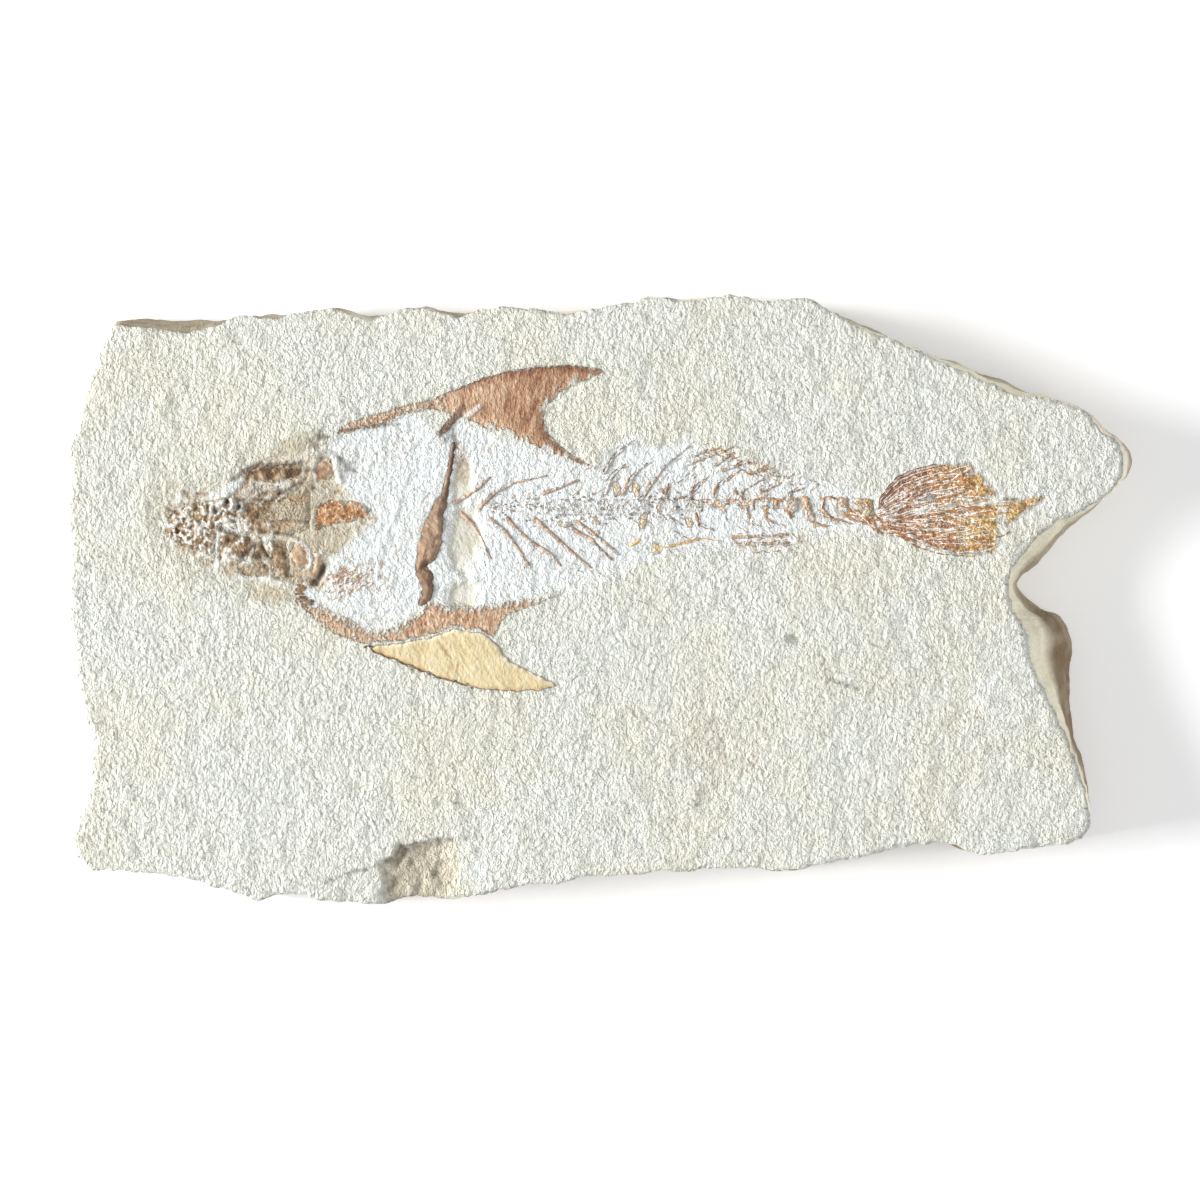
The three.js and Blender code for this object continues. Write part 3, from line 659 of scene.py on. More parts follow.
class Finish:
    def __init__(self, name):
        self.material = bpy.data.materials.new(name)
        self.material.use_nodes = True
        self.tree = self.material.node_tree
        self.shader = self.tree.nodes["Principled BSDF"]
        place = self.node("ShaderNodeTexCoord", {}, {}, "Object")
        self.place = self.node("ShaderNodeVectorMath", {"operation": "SCALE"}, {0: place, "Scale": 1 / mm})

    # any node: its kind, its settings, the values or links of its sockets, and which output is wanted
    def node(self, kind, settings, sockets, output=0):
        node = self.tree.nodes.new(kind)
        for key, value in settings.items():
            if key == "stops":
                ramp = node.color_ramp
                while len(ramp.elements) < len(value):
                    ramp.elements.new(0.5)
                for element, (position, colour) in zip(ramp.elements, value):
                    element.position, element.color = position, colour
            else:
                setattr(node, key, value)
        for key, value in sockets.items():
            if isinstance(value, Shade):
                self.tree.links.new(value.socket, node.inputs[key])
            else:
                node.inputs[key].default_value = value
        return Shade(self, node.outputs[output])

    def attribute(self, name):
        return self.node("ShaderNodeAttribute", {"attribute_name": name}, {}, "Fac")

    def noise(self, size, detail=2.0, stretch=(1, 1, 1), lean=0, warp=0.0, roughness=0.5):
        turnedPlace = self.node(
            "ShaderNodeMapping", {},
            {"Vector": self.place, "Rotation": (0, 0, math.radians(lean)),
             "Scale": tuple(1 / (size * s) for s in stretch)})
        return self.node(
            "ShaderNodeTexNoise", {"noise_dimensions": "3D"},
            {"Vector": turnedPlace, "Scale": 1.0, "Detail": detail, "Distortion": warp,
             "Roughness": roughness}, "Fac")

    def blend(self, share, first, second, kind="MIX"):
        return self.node("ShaderNodeMix", {"data_type": "RGBA", "blend_type": kind},
                         {0: share, 6: first, 7: second}, 2)

    def finish(self, colour, roughness, height, distance, strength=1.0):
        self.tree.links.new(colour.socket, self.shader.inputs["Base Color"])
        self.tree.links.new(roughness.socket, self.shader.inputs["Roughness"])
        bump = self.node("ShaderNodeBump", {}, {"Height": height, "Distance": distance * mm,
                                                "Strength": strength})
        self.tree.links.new(bump.socket, self.shader.inputs["Normal"])
        self.shader.inputs["Specular IOR Level"].default_value = 0.25
        return self.material


stoneBump = 1.75  # mm
stoneColours = {name: tint(*shown) for name, shown in {
    "pale": (240, 241, 235),
    "base": (233, 235, 226),
    "warm": (233, 231, 215),
    # painted shade: the colour of the low points of the grain
    "pit": (180, 178, 164),
    "brownPit": (168, 146, 118),
    "powder": (238, 243, 243),
    # painted shade: the colour of the low points of the grain under the dust
    "powderPit": (196, 198, 196),
    "fleck": (188, 162, 138),
    "stain": (200, 172, 136),
    "stainDeep": (128, 102, 74),
    "clay": (192, 181, 154),
    "grime": (92, 78, 66),
    "broken": (250, 244, 222),
    "brokenDeep": (242, 234, 208),
    "patina": (136, 117, 92),
}.items()}


# the stone's own look, shared by the slab and by the bones where they fade into it
def stoneLayer(make):
    c = stoneColours
    dust, stain, clay = make.attribute("dust"), make.attribute("stain"), make.attribute("clay")
    broken, patina, calm = make.attribute("broken"), make.attribute("patina"), make.attribute("calm")
    needles = make.noise(0.92, 3.0, (1, 1.25, 1.2), 12, 0.3, 0.55)
    fine = make.noise(0.40, 2.0, (1, 1.2, 1.2), 12, 0.2)
    clouds = make.noise(26, 3.0)
    patches = make.noise(6.0, 3.0)
    colour = make.blend(clouds.between(0.35, 0.68), c["base"], c["warm"])
    colour = make.blend(patches.between(0.4, 0.75) * 0.5, colour, c["pale"])
    # painted shade: darker where the needle marks and the fine grain run low
    pits = ((0.50 - needles).between(0.0, 0.2) * 0.34 + (0.47 - fine).between(0.0, 0.16) * 0.1)
    colour = make.blend(pits, colour, c["pit"])
    brownPits = (0.47 - needles).between(0.0, 0.12) * make.noise(4.0, 3.0).between(0.54, 0.66)
    colour = make.blend(brownPits * 0.5, colour, c["brownPit"])
    # painted shade in the dust too, where the grain runs low
    powderPitShade = (0.47 - fine).between(0.0, 0.12) * 0.26 + (0.46 - needles).between(0.0, 0.14) * 0.3
    powder = make.blend(powderPitShade, c["powder"], c["powderPit"])
    flecks = make.noise(0.8, 3.0, (1, 1.5, 1), 40, 0.5).between(0.56, 0.66)
    powder = make.blend(flecks * make.noise(6.0, 3.0).between(0.46, 0.62) * 0.8, powder, c["fleck"])
    colour = make.blend(dust, colour, powder)
    colour = make.blend((clay * (0.6 + 0.7 * patches)).clamped(), colour, c["clay"])
    stainNoise = make.noise(1.3, 4.0, (1, 1.3, 1), 20, 0.5).between(0.3, 0.66)
    stainColour = make.blend(make.noise(1.1, 3.0, (1, 1, 1), 0, 0.4).between(0.42, 0.58),
                             c["stainDeep"], c["stain"])
    colour = make.blend((stain * (0.35 + 0.85 * stainNoise)).clamped(), colour, stainColour)
    crustNoise = make.noise(5.0, 4.0, (1.6, 1.6, 0.8), 0, 0.6)
    crust = make.blend(crustNoise.between(0.36, 0.64), c["brokenDeep"], c["broken"])
    colour = make.blend(broken, colour, crust)
    colour = make.blend((patina * (0.6 + 0.8 * crustNoise)).clamped(), colour, c["patina"])
    height = needles * (1.0 - 0.8 * calm) + 0.26 * fine * (1.0 - 0.6 * calm)
    return colour, height, 0.86 + 0.1 * fine


def limestoneFinish():
    make = Finish("limestoneFinish")
    colour, height, roughness = stoneLayer(make)
    colour = make.blend((make.attribute("pale") * 0.9).clamped(), colour, stoneColours["powder"])
    colour = make.blend(make.attribute("grime"), colour, stoneColours["grime"])
    return make.finish(colour, roughness, height, stoneBump)


def boneFinish(name, look):
    make = Finish(name)
    c = {key: tint(*look[key]) for key in ("deep", "mid", "light", "pale", "powder", "grime")}
    stone, stoneHeight = stoneLayer(make)[:2]
    tone, powderShare, grime = make.attribute("tone"), make.attribute("powder"), make.attribute("grime")
    size = look["grainSize"]
    coarse = make.noise(size * 2.6, 3.0, look["stretch"], look["lean"], 0.4)
    fine = make.noise(size, 3.0, look["stretch"], look["lean"], 0.5)
    specks = make.noise(0.6, 2.0)
    level = (tone + (coarse - 0.5) * look["mottle"] + (fine - 0.5) * look["mottle"]).clamped()
    colour = make.node("ShaderNodeValToRGB", {"stops": [
        (0.0, c["deep"]), (0.38, c["mid"]), (0.72, c["light"]), (1.0, c["pale"])]}, {"Fac": level})
    colour = make.blend(make.attribute("cool"), colour, look["cool"], "MULTIPLY")
    colour = make.blend(make.attribute("warm"), colour, look["warm"], "MULTIPLY")
    powder = (powderShare + (specks - 0.5) * 1.2 * powderShare + (fine - 0.62) * 0.4).between(0.22, 0.72)
    colour = make.blend(powder, colour, c["powder"])
    colour = make.blend((make.attribute("pale") * 0.85).clamped(), colour, c["powder"])
    fade = make.attribute("fade") * 1.3 + (specks - 0.5) * 0.6 + (fine - 0.5) * 0.5 - 0.15
    fade = fade.between(0.0, 1.0)
    colour = make.blend(fade, colour, stone)
    colour = make.blend((grime * (0.7 + 0.6 * fine)).clamped(), colour, c["grime"])
    roughness = look["roughness"] + 0.14 * fine
    height = stoneHeight * (0.14 + 0.86 * fade) + (fine + 0.5 * specks) * look["bump"]
    return make.finish(colour, roughness, height, stoneBump)


plainLook = {"stretch": (1, 1, 1), "lean": 0}
finishLooks = {
    "skull": {
        **plainLook,
        "deep": (114, 88, 64), "mid": (160, 134, 104), "light": (198, 174, 142),
        "pale": (238, 224, 198), "powder": (248, 246, 240), "grime": (84, 68, 58),
        "grainSize": 0.8, "mottle": 0.75, "roughness": 0.62, "bump": 0.5,
        "cool": (0.92, 0.98, 1.08, 1), "warm": (1.2, 1.0, 0.72, 1),
    },
    "plate": {
        **plainLook,
        "deep": (140, 112, 90), "mid": (184, 154, 126), "light": (212, 186, 158),
        "pale": (242, 228, 206), "powder": (248, 246, 238), "grime": (92, 66, 50),
        "grainSize": 1.2, "mottle": 0.4, "roughness": 0.55, "bump": 0.25,
        "cool": (0.9, 0.98, 1.1, 1), "warm": (1.15, 1.0, 0.8, 1),
    },
    "rust": {
        **plainLook,
        "deep": (148, 96, 64), "mid": (192, 138, 96), "light": (218, 174, 134),
        "pale": (246, 222, 192), "powder": (252, 246, 236), "grime": (112, 66, 50),
        "grainSize": 0.6, "mottle": 0.8, "roughness": 0.62, "bump": 0.45,
        "cool": (0.8, 0.8, 1.25, 1), "warm": (1.12, 1.35, 1.1, 1),
    },
    "fin": {
        "deep": (138, 96, 74), "mid": (182, 142, 112), "light": (214, 184, 154),
        "pale": (240, 224, 202), "powder": (246, 243, 236), "grime": (96, 64, 52),
        "grainSize": 0.62, "stretch": (1, 2.2, 1), "lean": -8,
        "mottle": 0.6, "roughness": 0.6, "bump": 0.45,
        "cool": (0.95, 0.95, 1.1, 1), "warm": (1.1, 1.05, 0.9, 1),
    },
    "lobe": {
        "deep": (188, 154, 110), "mid": (216, 198, 156), "light": (230, 217, 182),
        "pale": (248, 238, 208), "powder": (250, 250, 242), "grime": (104, 66, 42),
        "grainSize": 0.9, "stretch": (1, 2.4, 1), "lean": -30,
        "mottle": 0.3, "roughness": 0.55, "bump": 0.12,
        "cool": (0.95, 0.98, 1.05, 1), "warm": (1.05, 1.0, 0.9, 1),
    },
    "thin": {
        **plainLook,
        "deep": (120, 98, 92), "mid": (166, 140, 126), "light": (206, 182, 164),
        "pale": (240, 226, 208), "powder": (247, 249, 250), "grime": (92, 74, 70),
        "grainSize": 0.7, "mottle": 0.8, "roughness": 0.66, "bump": 0.35,
        "cool": (0.95, 0.97, 1.05, 1), "warm": (1.32, 1.02, 0.62, 1),
    },
    "ochre": {
        **plainLook,
        "deep": (196, 146, 88), "mid": (226, 184, 122), "light": (240, 208, 152),
        "pale": (250, 232, 190), "powder": (250, 250, 244), "grime": (130, 92, 62),
        "grainSize": 0.8, "mottle": 0.6, "roughness": 0.6, "bump": 0.25,
        "cool": (0.9, 0.9, 1.0, 1), "warm": (1.05, 1.0, 0.9, 1),
    },
}

finishes = {name: boneFinish(name + "Finish", look) for name, look in finishLooks.items()}
finishes["limestone"] = limestoneFinish()
print("finishes made:", len(finishes))

# the slab


# the dark crack along the inner edge of the chip
def chipCrack(points):
    crack = np.zeros(len(points))
    close = ((points > mixed(chipLow, chipHigh, np.array([-0.02, 0.27])))
             & (points < mixed(chipLow, chipHigh, np.array([0.62, 1.05])))).all(axis=1)
    if close.any():
        near = points[close]
        away = np.abs(depthInside(near + 0.3 * grain(near, 2.0, 68)[:, None], chipOutline))
        share = (near[:, 0] - chipLow[0]) / (chipHigh[0] - chipLow[0])
        crack[close] = (1 - smoothstep(0.12, 0.45, away)) * (1 - smoothstep(0.45, 0.6, share))
    return crack


def stonePaint(points):
    body, head = depthInside(points, bodyOutline), depthInside(points, headRim)
    trunk, fins = depthUnder(points, thinNames, 8), depthUnder(points, finNames, 4)
    tail = depthUnder(points, tailNames + ["tail_stem"], 4)
    edgeNoise = rough(points, 3.4, 81, 3)
    hollow, drop, dark, pale = hollowShare(points), chipDrop(points), *creaseMarks(points)[1:]
    inHead, brown, clayShare, chalk, roughShare = headLook(points)
    rock = headRock(points) * np.minimum(roughShare + 0.1, 1.0)
    pit, lip = socketMarks(points)

    def spot(centre, radii, lean, seed, ragged=0.25):
        return onSpot(points, centre, radii, lean, seed, ragged)

    # painted shade: grey-beige clay laid above the skull roof and under the lower jaw
    shadeSpots = strongest(spot(at("skull_roof", 0.85, 1.5), (7.0, 3.0), -25, 88, 0.4),
                           spot(at("lower_jaw", 1.0, -0.9), (5.5, 3.0), 15, 89, 0.4))
    chip = smoothstep(0.1, 0.9, drop) * spot(chipHollow, (10.5, 9.5), 0, 90, 0.3)
    chalky = smoothstep(0.1, 0.4, drop) * spot(chipHollow + np.array([18.0, 1.0]), (11, 7), 0, 98, 0.3)

    # white dust over the body, along the trunk and thinly round the tail
    dust = strongest(smoothstep(-1.4, 1.6, body + 0.9 * edgeNoise) * (0.82 + 0.18 * grain(points, 9, 82)),
                     0.8 * smoothstep(-3.2, -0.2, trunk + 0.6 * edgeNoise),
                     0.5 * smoothstep(-2.5, 0.5, tail + 0.8 * edgeNoise))
    dust *= 1 - 0.65 * hollow
    dust *= 1 - 0.85 * inHead
    dust = strongest(dust, 0.35 * spot(chalkSpot, (4.5, 6.5), -20, 61),
                     0.5 * spot(streakSpot, (1.2, 4.0), 0, 87), 0.75 * chalky)

    # clay in the head, round it and in the hollows, and painted shade above and below the head
    around = smoothstep(-6.5, -1.0, head + 1.2 * edgeNoise) * (1 - inHead)
    clay = strongest(inHead * (0.25 + 0.7 * clayShare), 0.8 * shadeSpots * (1 - 0.6 * inHead),
                     0.25 * around * (1 - smoothstep(-1, 1, body)),
                     0.62 * hollow * (0.75 + 0.4 * rough(points, 5.0, 99, 2)))

    # brown stains from the bones
    torn = smoothstep(-0.1, 0.5, rough(points, 1.4, 85, 2))
    brownish = smoothstep(-0.25, 0.4, rough(points, 1.5, 69, 2))
    stain = strongest(inHead * np.clip(brown - 0.35 * rock, 0, 1),
                      0.2 * smoothstep(-0.9, 0.1, fins + 0.4 * edgeNoise),
                      0.75 * smoothstep(-0.2, 0.6, tail + 0.2 * edgeNoise),
                      0.55 * spot(at("shoulder_bar", 1.2, 0.86), (1.7, 5.2), -8, 78, 0.35),
                      0.22 * spot(tanSpot, (5, 12), 0, 83),
                      0.6 * spot(at("lower_fin", 0.3, 1.3), (6.0, 4.0), 0, 84, 0.7) * torn,
                      0.35 * spot(at("dorsal_ray_5", 0.8, 0.8), (6.5, 3.0), 25, 86, 0.5),
                      0.5 * smoothstep(0.4, 1.5, drop),
                      *[strength * onLine(points, line, width) * brownish
                        for line, width, strength in stainLines])

    # dark cracks, films and pits, painted shade where the head's rock runs low, then pale crests and lips
    grime = strongest(0.5 * onLine(points, scratchLine, 0.6), 0.85 * dark, 0.6 * chipCrack(points),
                      inHead * np.maximum(0.62 * pit, 0.55 * smoothstep(0.35, 0.95, -rock)),
                      *[strength * spot(centre, radii, lean, 79, 0.6)
                        for centre, radii, lean, strength in darkSpots])
    pale = strongest(pale, inHead * np.maximum(lip, smoothstep(0.15, 0.6, rock) * (0.15 + chalk)))
    calm = np.clip(0.9 * hollow + 0.55 * inHead + 0.4 * shadeSpots + 0.4 * dust, 0, 1)
    return {"dust": dust, "stain": stain, "clay": clay, "grime": grime, "pale": 0.85 * pale,
            "broken": 0.7 * chip, "patina": 0.42 * chip * smoothstep(0.5, 2.0, drop), "calm": calm}


def nearFish(points):
    near = depthInside(points, bodyOutline) > -1.5
    near |= depthInside(points, headRim) > -2.5
    return near | (depthUnder(points, tailNames + finNames, 3) > -1.5)


# brown skin on the sides, down the outer part and along the upper left; on the left end, which faces the key
# light, painted shade
def sidePatinaAndShade(flat, solid, down, side):
    notch = smoothstep(at("slab", 0, 0.40)[1], at("slab", 0, 0.58)[1], flat[:, 1])
    outer = smoothstep(0.5, 0.78, down - 0.2 * notch)
    north = smoothstep(0.3, 0.8, rimOut[:, 1])
    north *= smoothstep(-0.1, 0.35, 0.4 * rough(flat, 14, 95, 2) - (flat[:, 0] + 30) / 60)
    # painted shade: the left end faces the key light, so it is darkened against the glare
    west = 0.6 * smoothstep(0.3, 0.9, -rimOut[:, 0]) * side
    patina = strongest((0.95 - 0.3 * notch) * outer, west, 0.75 * north * side)
    return patina + 0.15 * rough(solid, 6, 97, 2) * side


def makeSlab():
    look = slabLook
    count = len(topRim)
    points, faceTriangles = patch(topRim, look["faceStep"], 5, edgeRing, 0.9, nearFish, look["fishStep"])
    edge = depthInside(points, edgeRing)
    edge[:count] = 0
    drop = chipDrop(points)
    plates, fins = skullNames + ["shoulder_bar"], finNames
    thin = thinNames + rustNames + bellyNames
    sink = strongest(look["plateBed"] * smoothstep(-0.1, 0.9, depthUnder(points, plates, 2)),
                     look["plateBed"] * smoothstep(0.3, 1.3, depthUnder(points, fins, 2)),
                     look["thinBed"] * smoothstep(-0.1, 0.5, depthUnder(points, thin, 2)))
    height = faceHeight(points) - drop - sink
    height -= 0.10 * np.exp(-np.maximum(edge, 0) / 0.5)
    height -= 0.22 * np.exp(-np.maximum(edge, 0) / 3.0) * (0.4 + 0.9 * rough(points, 6, 91, 2))
    paint = stonePaint(points)
    places = [np.column_stack([points, height])]
    layers = {key: [values] for key, values in paint.items()}

    # the broken sides, a row at a time from the top edge to the base
    ringHeights = look["ringHeights"]
    levels = [height[:count]] + [np.full(count, level) for level in reversed(ringHeights)]
    rings = [topRim] + rimRings[1:]
    triangles = [faceTriangles]
    first, above = 0, len(points)
    for stage, share in look["sideRows"]:
        following = min(stage + 1, 3)
        flat = mixed(rings[stage], rimRings[following], share)
        z = mixed(levels[stage], levels[following], share)
        solid = np.column_stack([flat, z])
        crag = rough(solid, (11, 11, 8), 92, 3) + 0.16 * rough(solid, (2.2, 2.2, 1.4), 93, 2)
        bedding = 0.35 * np.abs(grain(np.column_stack([z, flat.sum(axis=1) * 0.05]), (2.4, 1.0), 94))
        push = look["sideCrag"] * min(1.0, stage + share * 2) * (crag - bedding - 0.05)
        flat = np.clip(flat + rimOut * push[:, None], slabLow, slabHigh)
        places.append(np.column_stack([flat, z]))
        triangles.append(bandBetween(first, above, count))
        first, above = above, above + count
        side = smoothstep(-0.03, 0.08, stage + share)
        row = {"broken": side, "calm": 0.8 * side, "patina": sidePatinaAndShade(flat, solid, stage + share, side)}
        for key, values in layers.items():
            values.append(np.broadcast_to(row.get(key, 0.0), count))
    outline = places[-1][:, :2]
    under, underTriangles = patch(outline, look["baseStep"], 6, rimRings[3], 0.8)
    inner = under[count:]
    lift = np.maximum(0.0, 0.5 * rough(inner, 16, 96, 3) - 0.05)
    lift *= smoothstep(0, 3, depthInside(inner, rimRings[3][::8]))
    places.append(np.column_stack([inner, lift]))
    shifted = np.where(underTriangles < count, underTriangles + first, underTriangles - count + above)
    triangles.append(shifted[:, ::-1])
    underPaint = {"patina": 0.25, "broken": 0.7, "calm": 0.5}
    for key, values in layers.items():
        values.append(np.full(len(inner), underPaint.get(key, 0.0)))
    attributes = {key: np.concatenate(values) for key, values in layers.items()}
    piece = makeMesh("fossil_slab", np.vstack(places), np.vstack(triangles), attributes,
                     finishes["limestone"])
    settle(piece, "limestone", "slab")
    print("slab:", len(piece.data.vertices), "points", len(piece.data.polygons), "triangles")


makeSlab()

# bones


# a round shoulder, where smoothstep gives a gentle one
def domed(low, high, value):
    share = np.clip((value - low) / (high - low), 0, 1)
    return np.sqrt(1 - (1 - share) ** 2)


# the bone's own paint with the stone's under it, and how far it fades into the stone at its edge
def boneLayers(points, depth, look, own, seed):
    layers = stonePaint(points)
    layers["stain"] = 0.5 * layers["stain"]
    ragged = 0.35 * rough(points, 1.3, seed + 60, 2)
    edge = 1 - smoothstep(-0.4, 1, depth / look["soft"] + ragged)
    layers["fade"] = np.maximum(edge, own.get("fade", 0.0))
    layers["grime"] = np.maximum(own.get("grime", 0.0), layers["grime"])
    for key in ("tone", "powder", "warm", "cool"):
        layers[key] = own.get(key, 0.0)
    return layers


bottomStep = 50  # mm, wider than any bone, so that its flat bottom needs no inner points


def makeBone(name, look, slotName, seed, paint):
    step = look["step"]
    outline = smoothedRing(densified(outlines[name], step), look.get("soften", 1.2))
    ragged = look.get("grow", 0.0) + look["wobble"] * rough(outline, look.get("wobbleSize", 1.2), seed, 3)
    outline = outline + outwardOf(outline) * ragged[:, None]
    points, triangles = patch(outline, step, seed)
    count = len(outline)
    depth = np.maximum(depthInside(points, outline), 0)
    depth[:count] = 0
    low, high = boxes[name]
    share = (points - low[:2]) / (high[:2] - low[:2])
    attributes, extra = paint(points, depth, share[:, 0], share[:, 1], seed)
    attributes = boneLayers(points, depth, look, attributes, seed)
    profile = smoothstep if look.get("gentle") else domed
    top = faceHeight(points) + look["relief"] * profile(0, look["bevel"], depth) - look["bury"]
    top += extra * smoothstep(0, look["bevel"] * 0.6, depth)
    top = np.clip(top, low[2] + 0.3, high[2])
    bottom, bottomTriangles = patch(outline, bottomStep, seed)
    places = np.vstack([np.column_stack([points, top]),
                        np.column_stack([bottom, np.full(len(bottom), low[2])])])
    faces = np.vstack([triangles, bandBetween(0, len(points), count),
                       bottomTriangles[:, ::-1] + len(points)])
    attributes = {key: np.concatenate([np.broadcast_to(values, len(points)), np.zeros(len(bottom))])
                  for key, values in attributes.items()}
    piece = makeMesh("bone_" + name, places, faces, attributes, finishes[look["finish"]])
    settle(piece, slotName, name)
    return piece


thinLook = {"step": 0.24, "wobble": 0.2, "relief": 0.42, "bevel": 0.5, "bury": 0.1, "soft": 0.35,
            "gentle": True, "finish": "thin"}
ribLook = dict(thinLook, wobble=0.08, relief=0.42, bevel=0.35, soft=0.22, gentle=False)
rayLook = dict(thinLook, finish="rust", bevel=0.35, soft=0.25)
bellyLook = dict(thinLook, finish="ochre", bevel=0.9, relief=0.24, soft=0.6)


# a paint takes points, their depth in from the edge, their shares u and v of the piece's box and a
# seed; it gives the layers that the finish reads and how far the surface rises

# the backbone is mostly powdered over: flecks and crescents of bone show through
def paintThin(points, depth, u, v, seed):
    rear = smoothstep(at("vertebra_1", 0, 0)[0], at("vertebra_4", 0, 0)[0], points[:, 0])
    flecks = rough(points, 1.1, seed + 1, 3, 0.7)
    tone = 0.42 + 0.3 * flecks
    shown = 0.27 + 0.28 * rear + 0.55 * flecks + 0.3 * smoothstep(0.5, 0.9, v) * rear
    dust = 0.3 + 0.4 * rough(points, 1.1, seed + 2, 2)
    return {"tone": tone + 0.18, "powder": dust, "fade": 1 - smoothstep(0.3, 0.85, shown),
            "warm": 0.2 + 0.5 * rear}, 0.10 * flecks


def paintRib(points, depth, u, v, seed):
    tone = 0.64 + 0.3 * rough(points, 2.4, seed + 1, 2)
    dust = 0.15 + 0.3 * rough(points, 1.8, seed + 2, 2)
    fade = 0.6 * smoothstep(0.0, 0.6, rough(points, 2.2, seed + 4, 2))
    layers = {"tone": tone, "powder": dust, "fade": fade, "warm": 0.3}
    return layers, 0.04 * rough(points, 0.9, seed + 3, 2)


# a rib's paint, faded further into the stone
def paintFaded(share, swing, size):
    def paint(points, depth, u, v, seed):
        layers, lift = paintRib(points, depth, u, v, seed)
        layers["fade"] = share + swing * rough(points, size, seed + 5, 2)
        return layers, lift
    return paint


paintRay = paintFaded(0.46, 0.5, 1.2)
paintSpine = paintFaded(0.55, 0.35, 1.6)

for number, name in enumerate(thinNames):
    isRib = name.startswith(("rib_", "front_spine"))
    paint = paintSpine if name.startswith("front_spine") else paintRib if isRib else paintThin
    makeBone(name, ribLook if isRib else thinLook, "thin_bone", 500 + number * 7, paint)
print("ribs, spines and vertebrae:", len(thinNames))

for number, name in enumerate(rustNames):
    makeBone(name, rayLook, "rust_bone", 700 + number * 7, paintThin if name == "tail_stem" else paintRay)
for number, name in enumerate(bellyNames):
    makeBone(name, bellyLook, "pale_bone", 800 + number * 7, paintRay)
print("loose rays and belly bones:", len(rustNames) + len(bellyNames))

plateLook = {"step": 0.3, "wobble": 0.45, "relief": 0.40, "bevel": 1.3, "bury": 0.08, "soft": 0.9,
             "gentle": True, "finish": "skull"}
snoutLook = dict(plateLook, step=0.26, wobble=0.4, relief=0.55, bevel=1.6)
tanPlateLook = dict(plateLook, finish="plate", relief=0.5, soft=0.7, wobble=0.7, wobbleSize=2.2)
rustPlateLook = dict(plateLook, finish="rust", relief=0.3, bevel=0.9, wobble=0.7)
barLook = dict(plateLook, finish="plate", relief=0.85, bevel=1.2, bury=0.06, wobble=0.4, soft=0.25, grow=0.2)


def paintPlate(points, depth, u, v, seed):
    brown, clay, chalk, roughShare = headLook(points)[1:]
    rock = headRock(points) * np.minimum(roughShare + 0.15, 1.0)
    tone = 0.62 - 0.45 * brown + 0.3 * rock + 0.12 * rough(points, 2.2, seed + 2, 3)
    dust = 0.05 + (0.1 + chalk) * smoothstep(0.0, 0.7, rock)
    # painted shade: darker where the rocky relief runs low
    grime = 0.5 * smoothstep(0.35, 0.95, -rock)
    fade = 0.75 * clay * smoothstep(-0.4, 0.3, grain(points, 2.6, seed + 5) + clay - 0.5)
    lift = 0.05 * rough(points, 1.5, seed + 4, 3)
    return {"tone": tone, "powder": dust, "grime": grime, "fade": fade}, lift


def paintSnout(points, depth, u, v, seed):
    pebbles = rough(points, 1.05, seed + 1, 2, 0.6)
    crest = smoothstep(-0.1, 0.6, pebbles)
    tone = 0.42 + 0.5 * crest
    dust = 0.9 * smoothstep(-0.1, 0.55, pebbles + 0.35 * rough(points, 3.0, seed + 2, 2))
    # painted shade between the pebbles, where the surface runs low
    grime = 0.35 * smoothstep(0.35, 0.9, -pebbles)
    return {"tone": tone, "powder": dust, "grime": grime}, 0.26 * pebbles


def paintSmoothPlate(points, depth, u, v, seed):
    rim = 1 - smoothstep(0.1, 0.75, depth)
    tone = 0.38 + 0.22 * rough(points, 3.0, seed + 2, 2) + 0.5 * rim
    return {"tone": tone, "powder": 0.55 * rim}, 0.06 * rough(points, 1.8, seed + 4, 2)


def paintRustPlate(points, depth, u, v, seed):
    pebbles = rough(points, 0.9, seed + 1, 2, 0.6)
    patches = rough(points, 2.6, seed + 2, 2)
    tone = 0.44 + 0.22 * pebbles + 0.22 * patches
    dust = 0.5 * smoothstep(0.2, 0.9, pebbles + 0.5 * rough(points, 2.8, seed + 5, 2))
    fade = np.maximum(0.6 * (1 - smoothstep(0.0, 0.12, u)), smoothstep(0.6, 1.25, u + 0.4 * pebbles))
    layers = {"tone": tone, "powder": dust, "fade": fade, "warm": 0.15}
    return layers, 0.10 * pebbles


def paintBar(points, depth, u, v, seed):
    east = depthFacing(points, outlines["shoulder_bar"], (1, 0))
    west = depthFacing(points, outlines["shoulder_bar"], (-1, 0))
    lumps = rough(points, (1.8, 3.6), seed + 1, 3)
    high = smoothstep(0.42, 0.66, v)
    foot = 1 - smoothstep(0.16, 0.26, v)
    tone = 0.17 + 0.2 * lumps - 0.10 * high - 0.1 * foot - 0.2 * (1 - smoothstep(0.1, 0.6, west)) * foot
    # painted highlight: paler along the front (left) edge of the middle stretch, where the key light falls
    tone += 0.25 * (1 - smoothstep(0.1, 0.5, west)) * smoothstep(0.25, 0.4, v) * (1 - high)
    # the first of these is painted shadow along the back (right) edge of the upper half
    grime = strongest(0.7 * (1 - smoothstep(0.1, 0.8, east)) * smoothstep(0.5, 0.75, v),
                      0.45 * foot * smoothstep(0.0, 0.6, lumps + 0.3),
                      0.6 * onSpot(points, at("shoulder_bar", 0.2, 0.235), (1.6, 0.5), -30, seed + 5))
    dust = 0.3 * smoothstep(0.2, 0.8, rough(points, 2.0, seed + 2, 2))
    return {"tone": tone, "powder": dust, "grime": grime, "cool": 0.1 + 0.5 * high}, 0.14 * lumps


# distance to those stretches of an outline that face one way
def depthFacing(points, outline, way):
    facing = outwardOf(outline) @ np.array(way)
    nearest = np.full(len(points), 1e9)
    for k in range(len(outline)):
        following = (k + 1) % len(outline)
        if facing[k] + facing[following] > 0.3:
            line = np.array([outline[k], outline[following]])
            nearest = np.minimum(nearest, -depthInside(points, line, False))
    return nearest


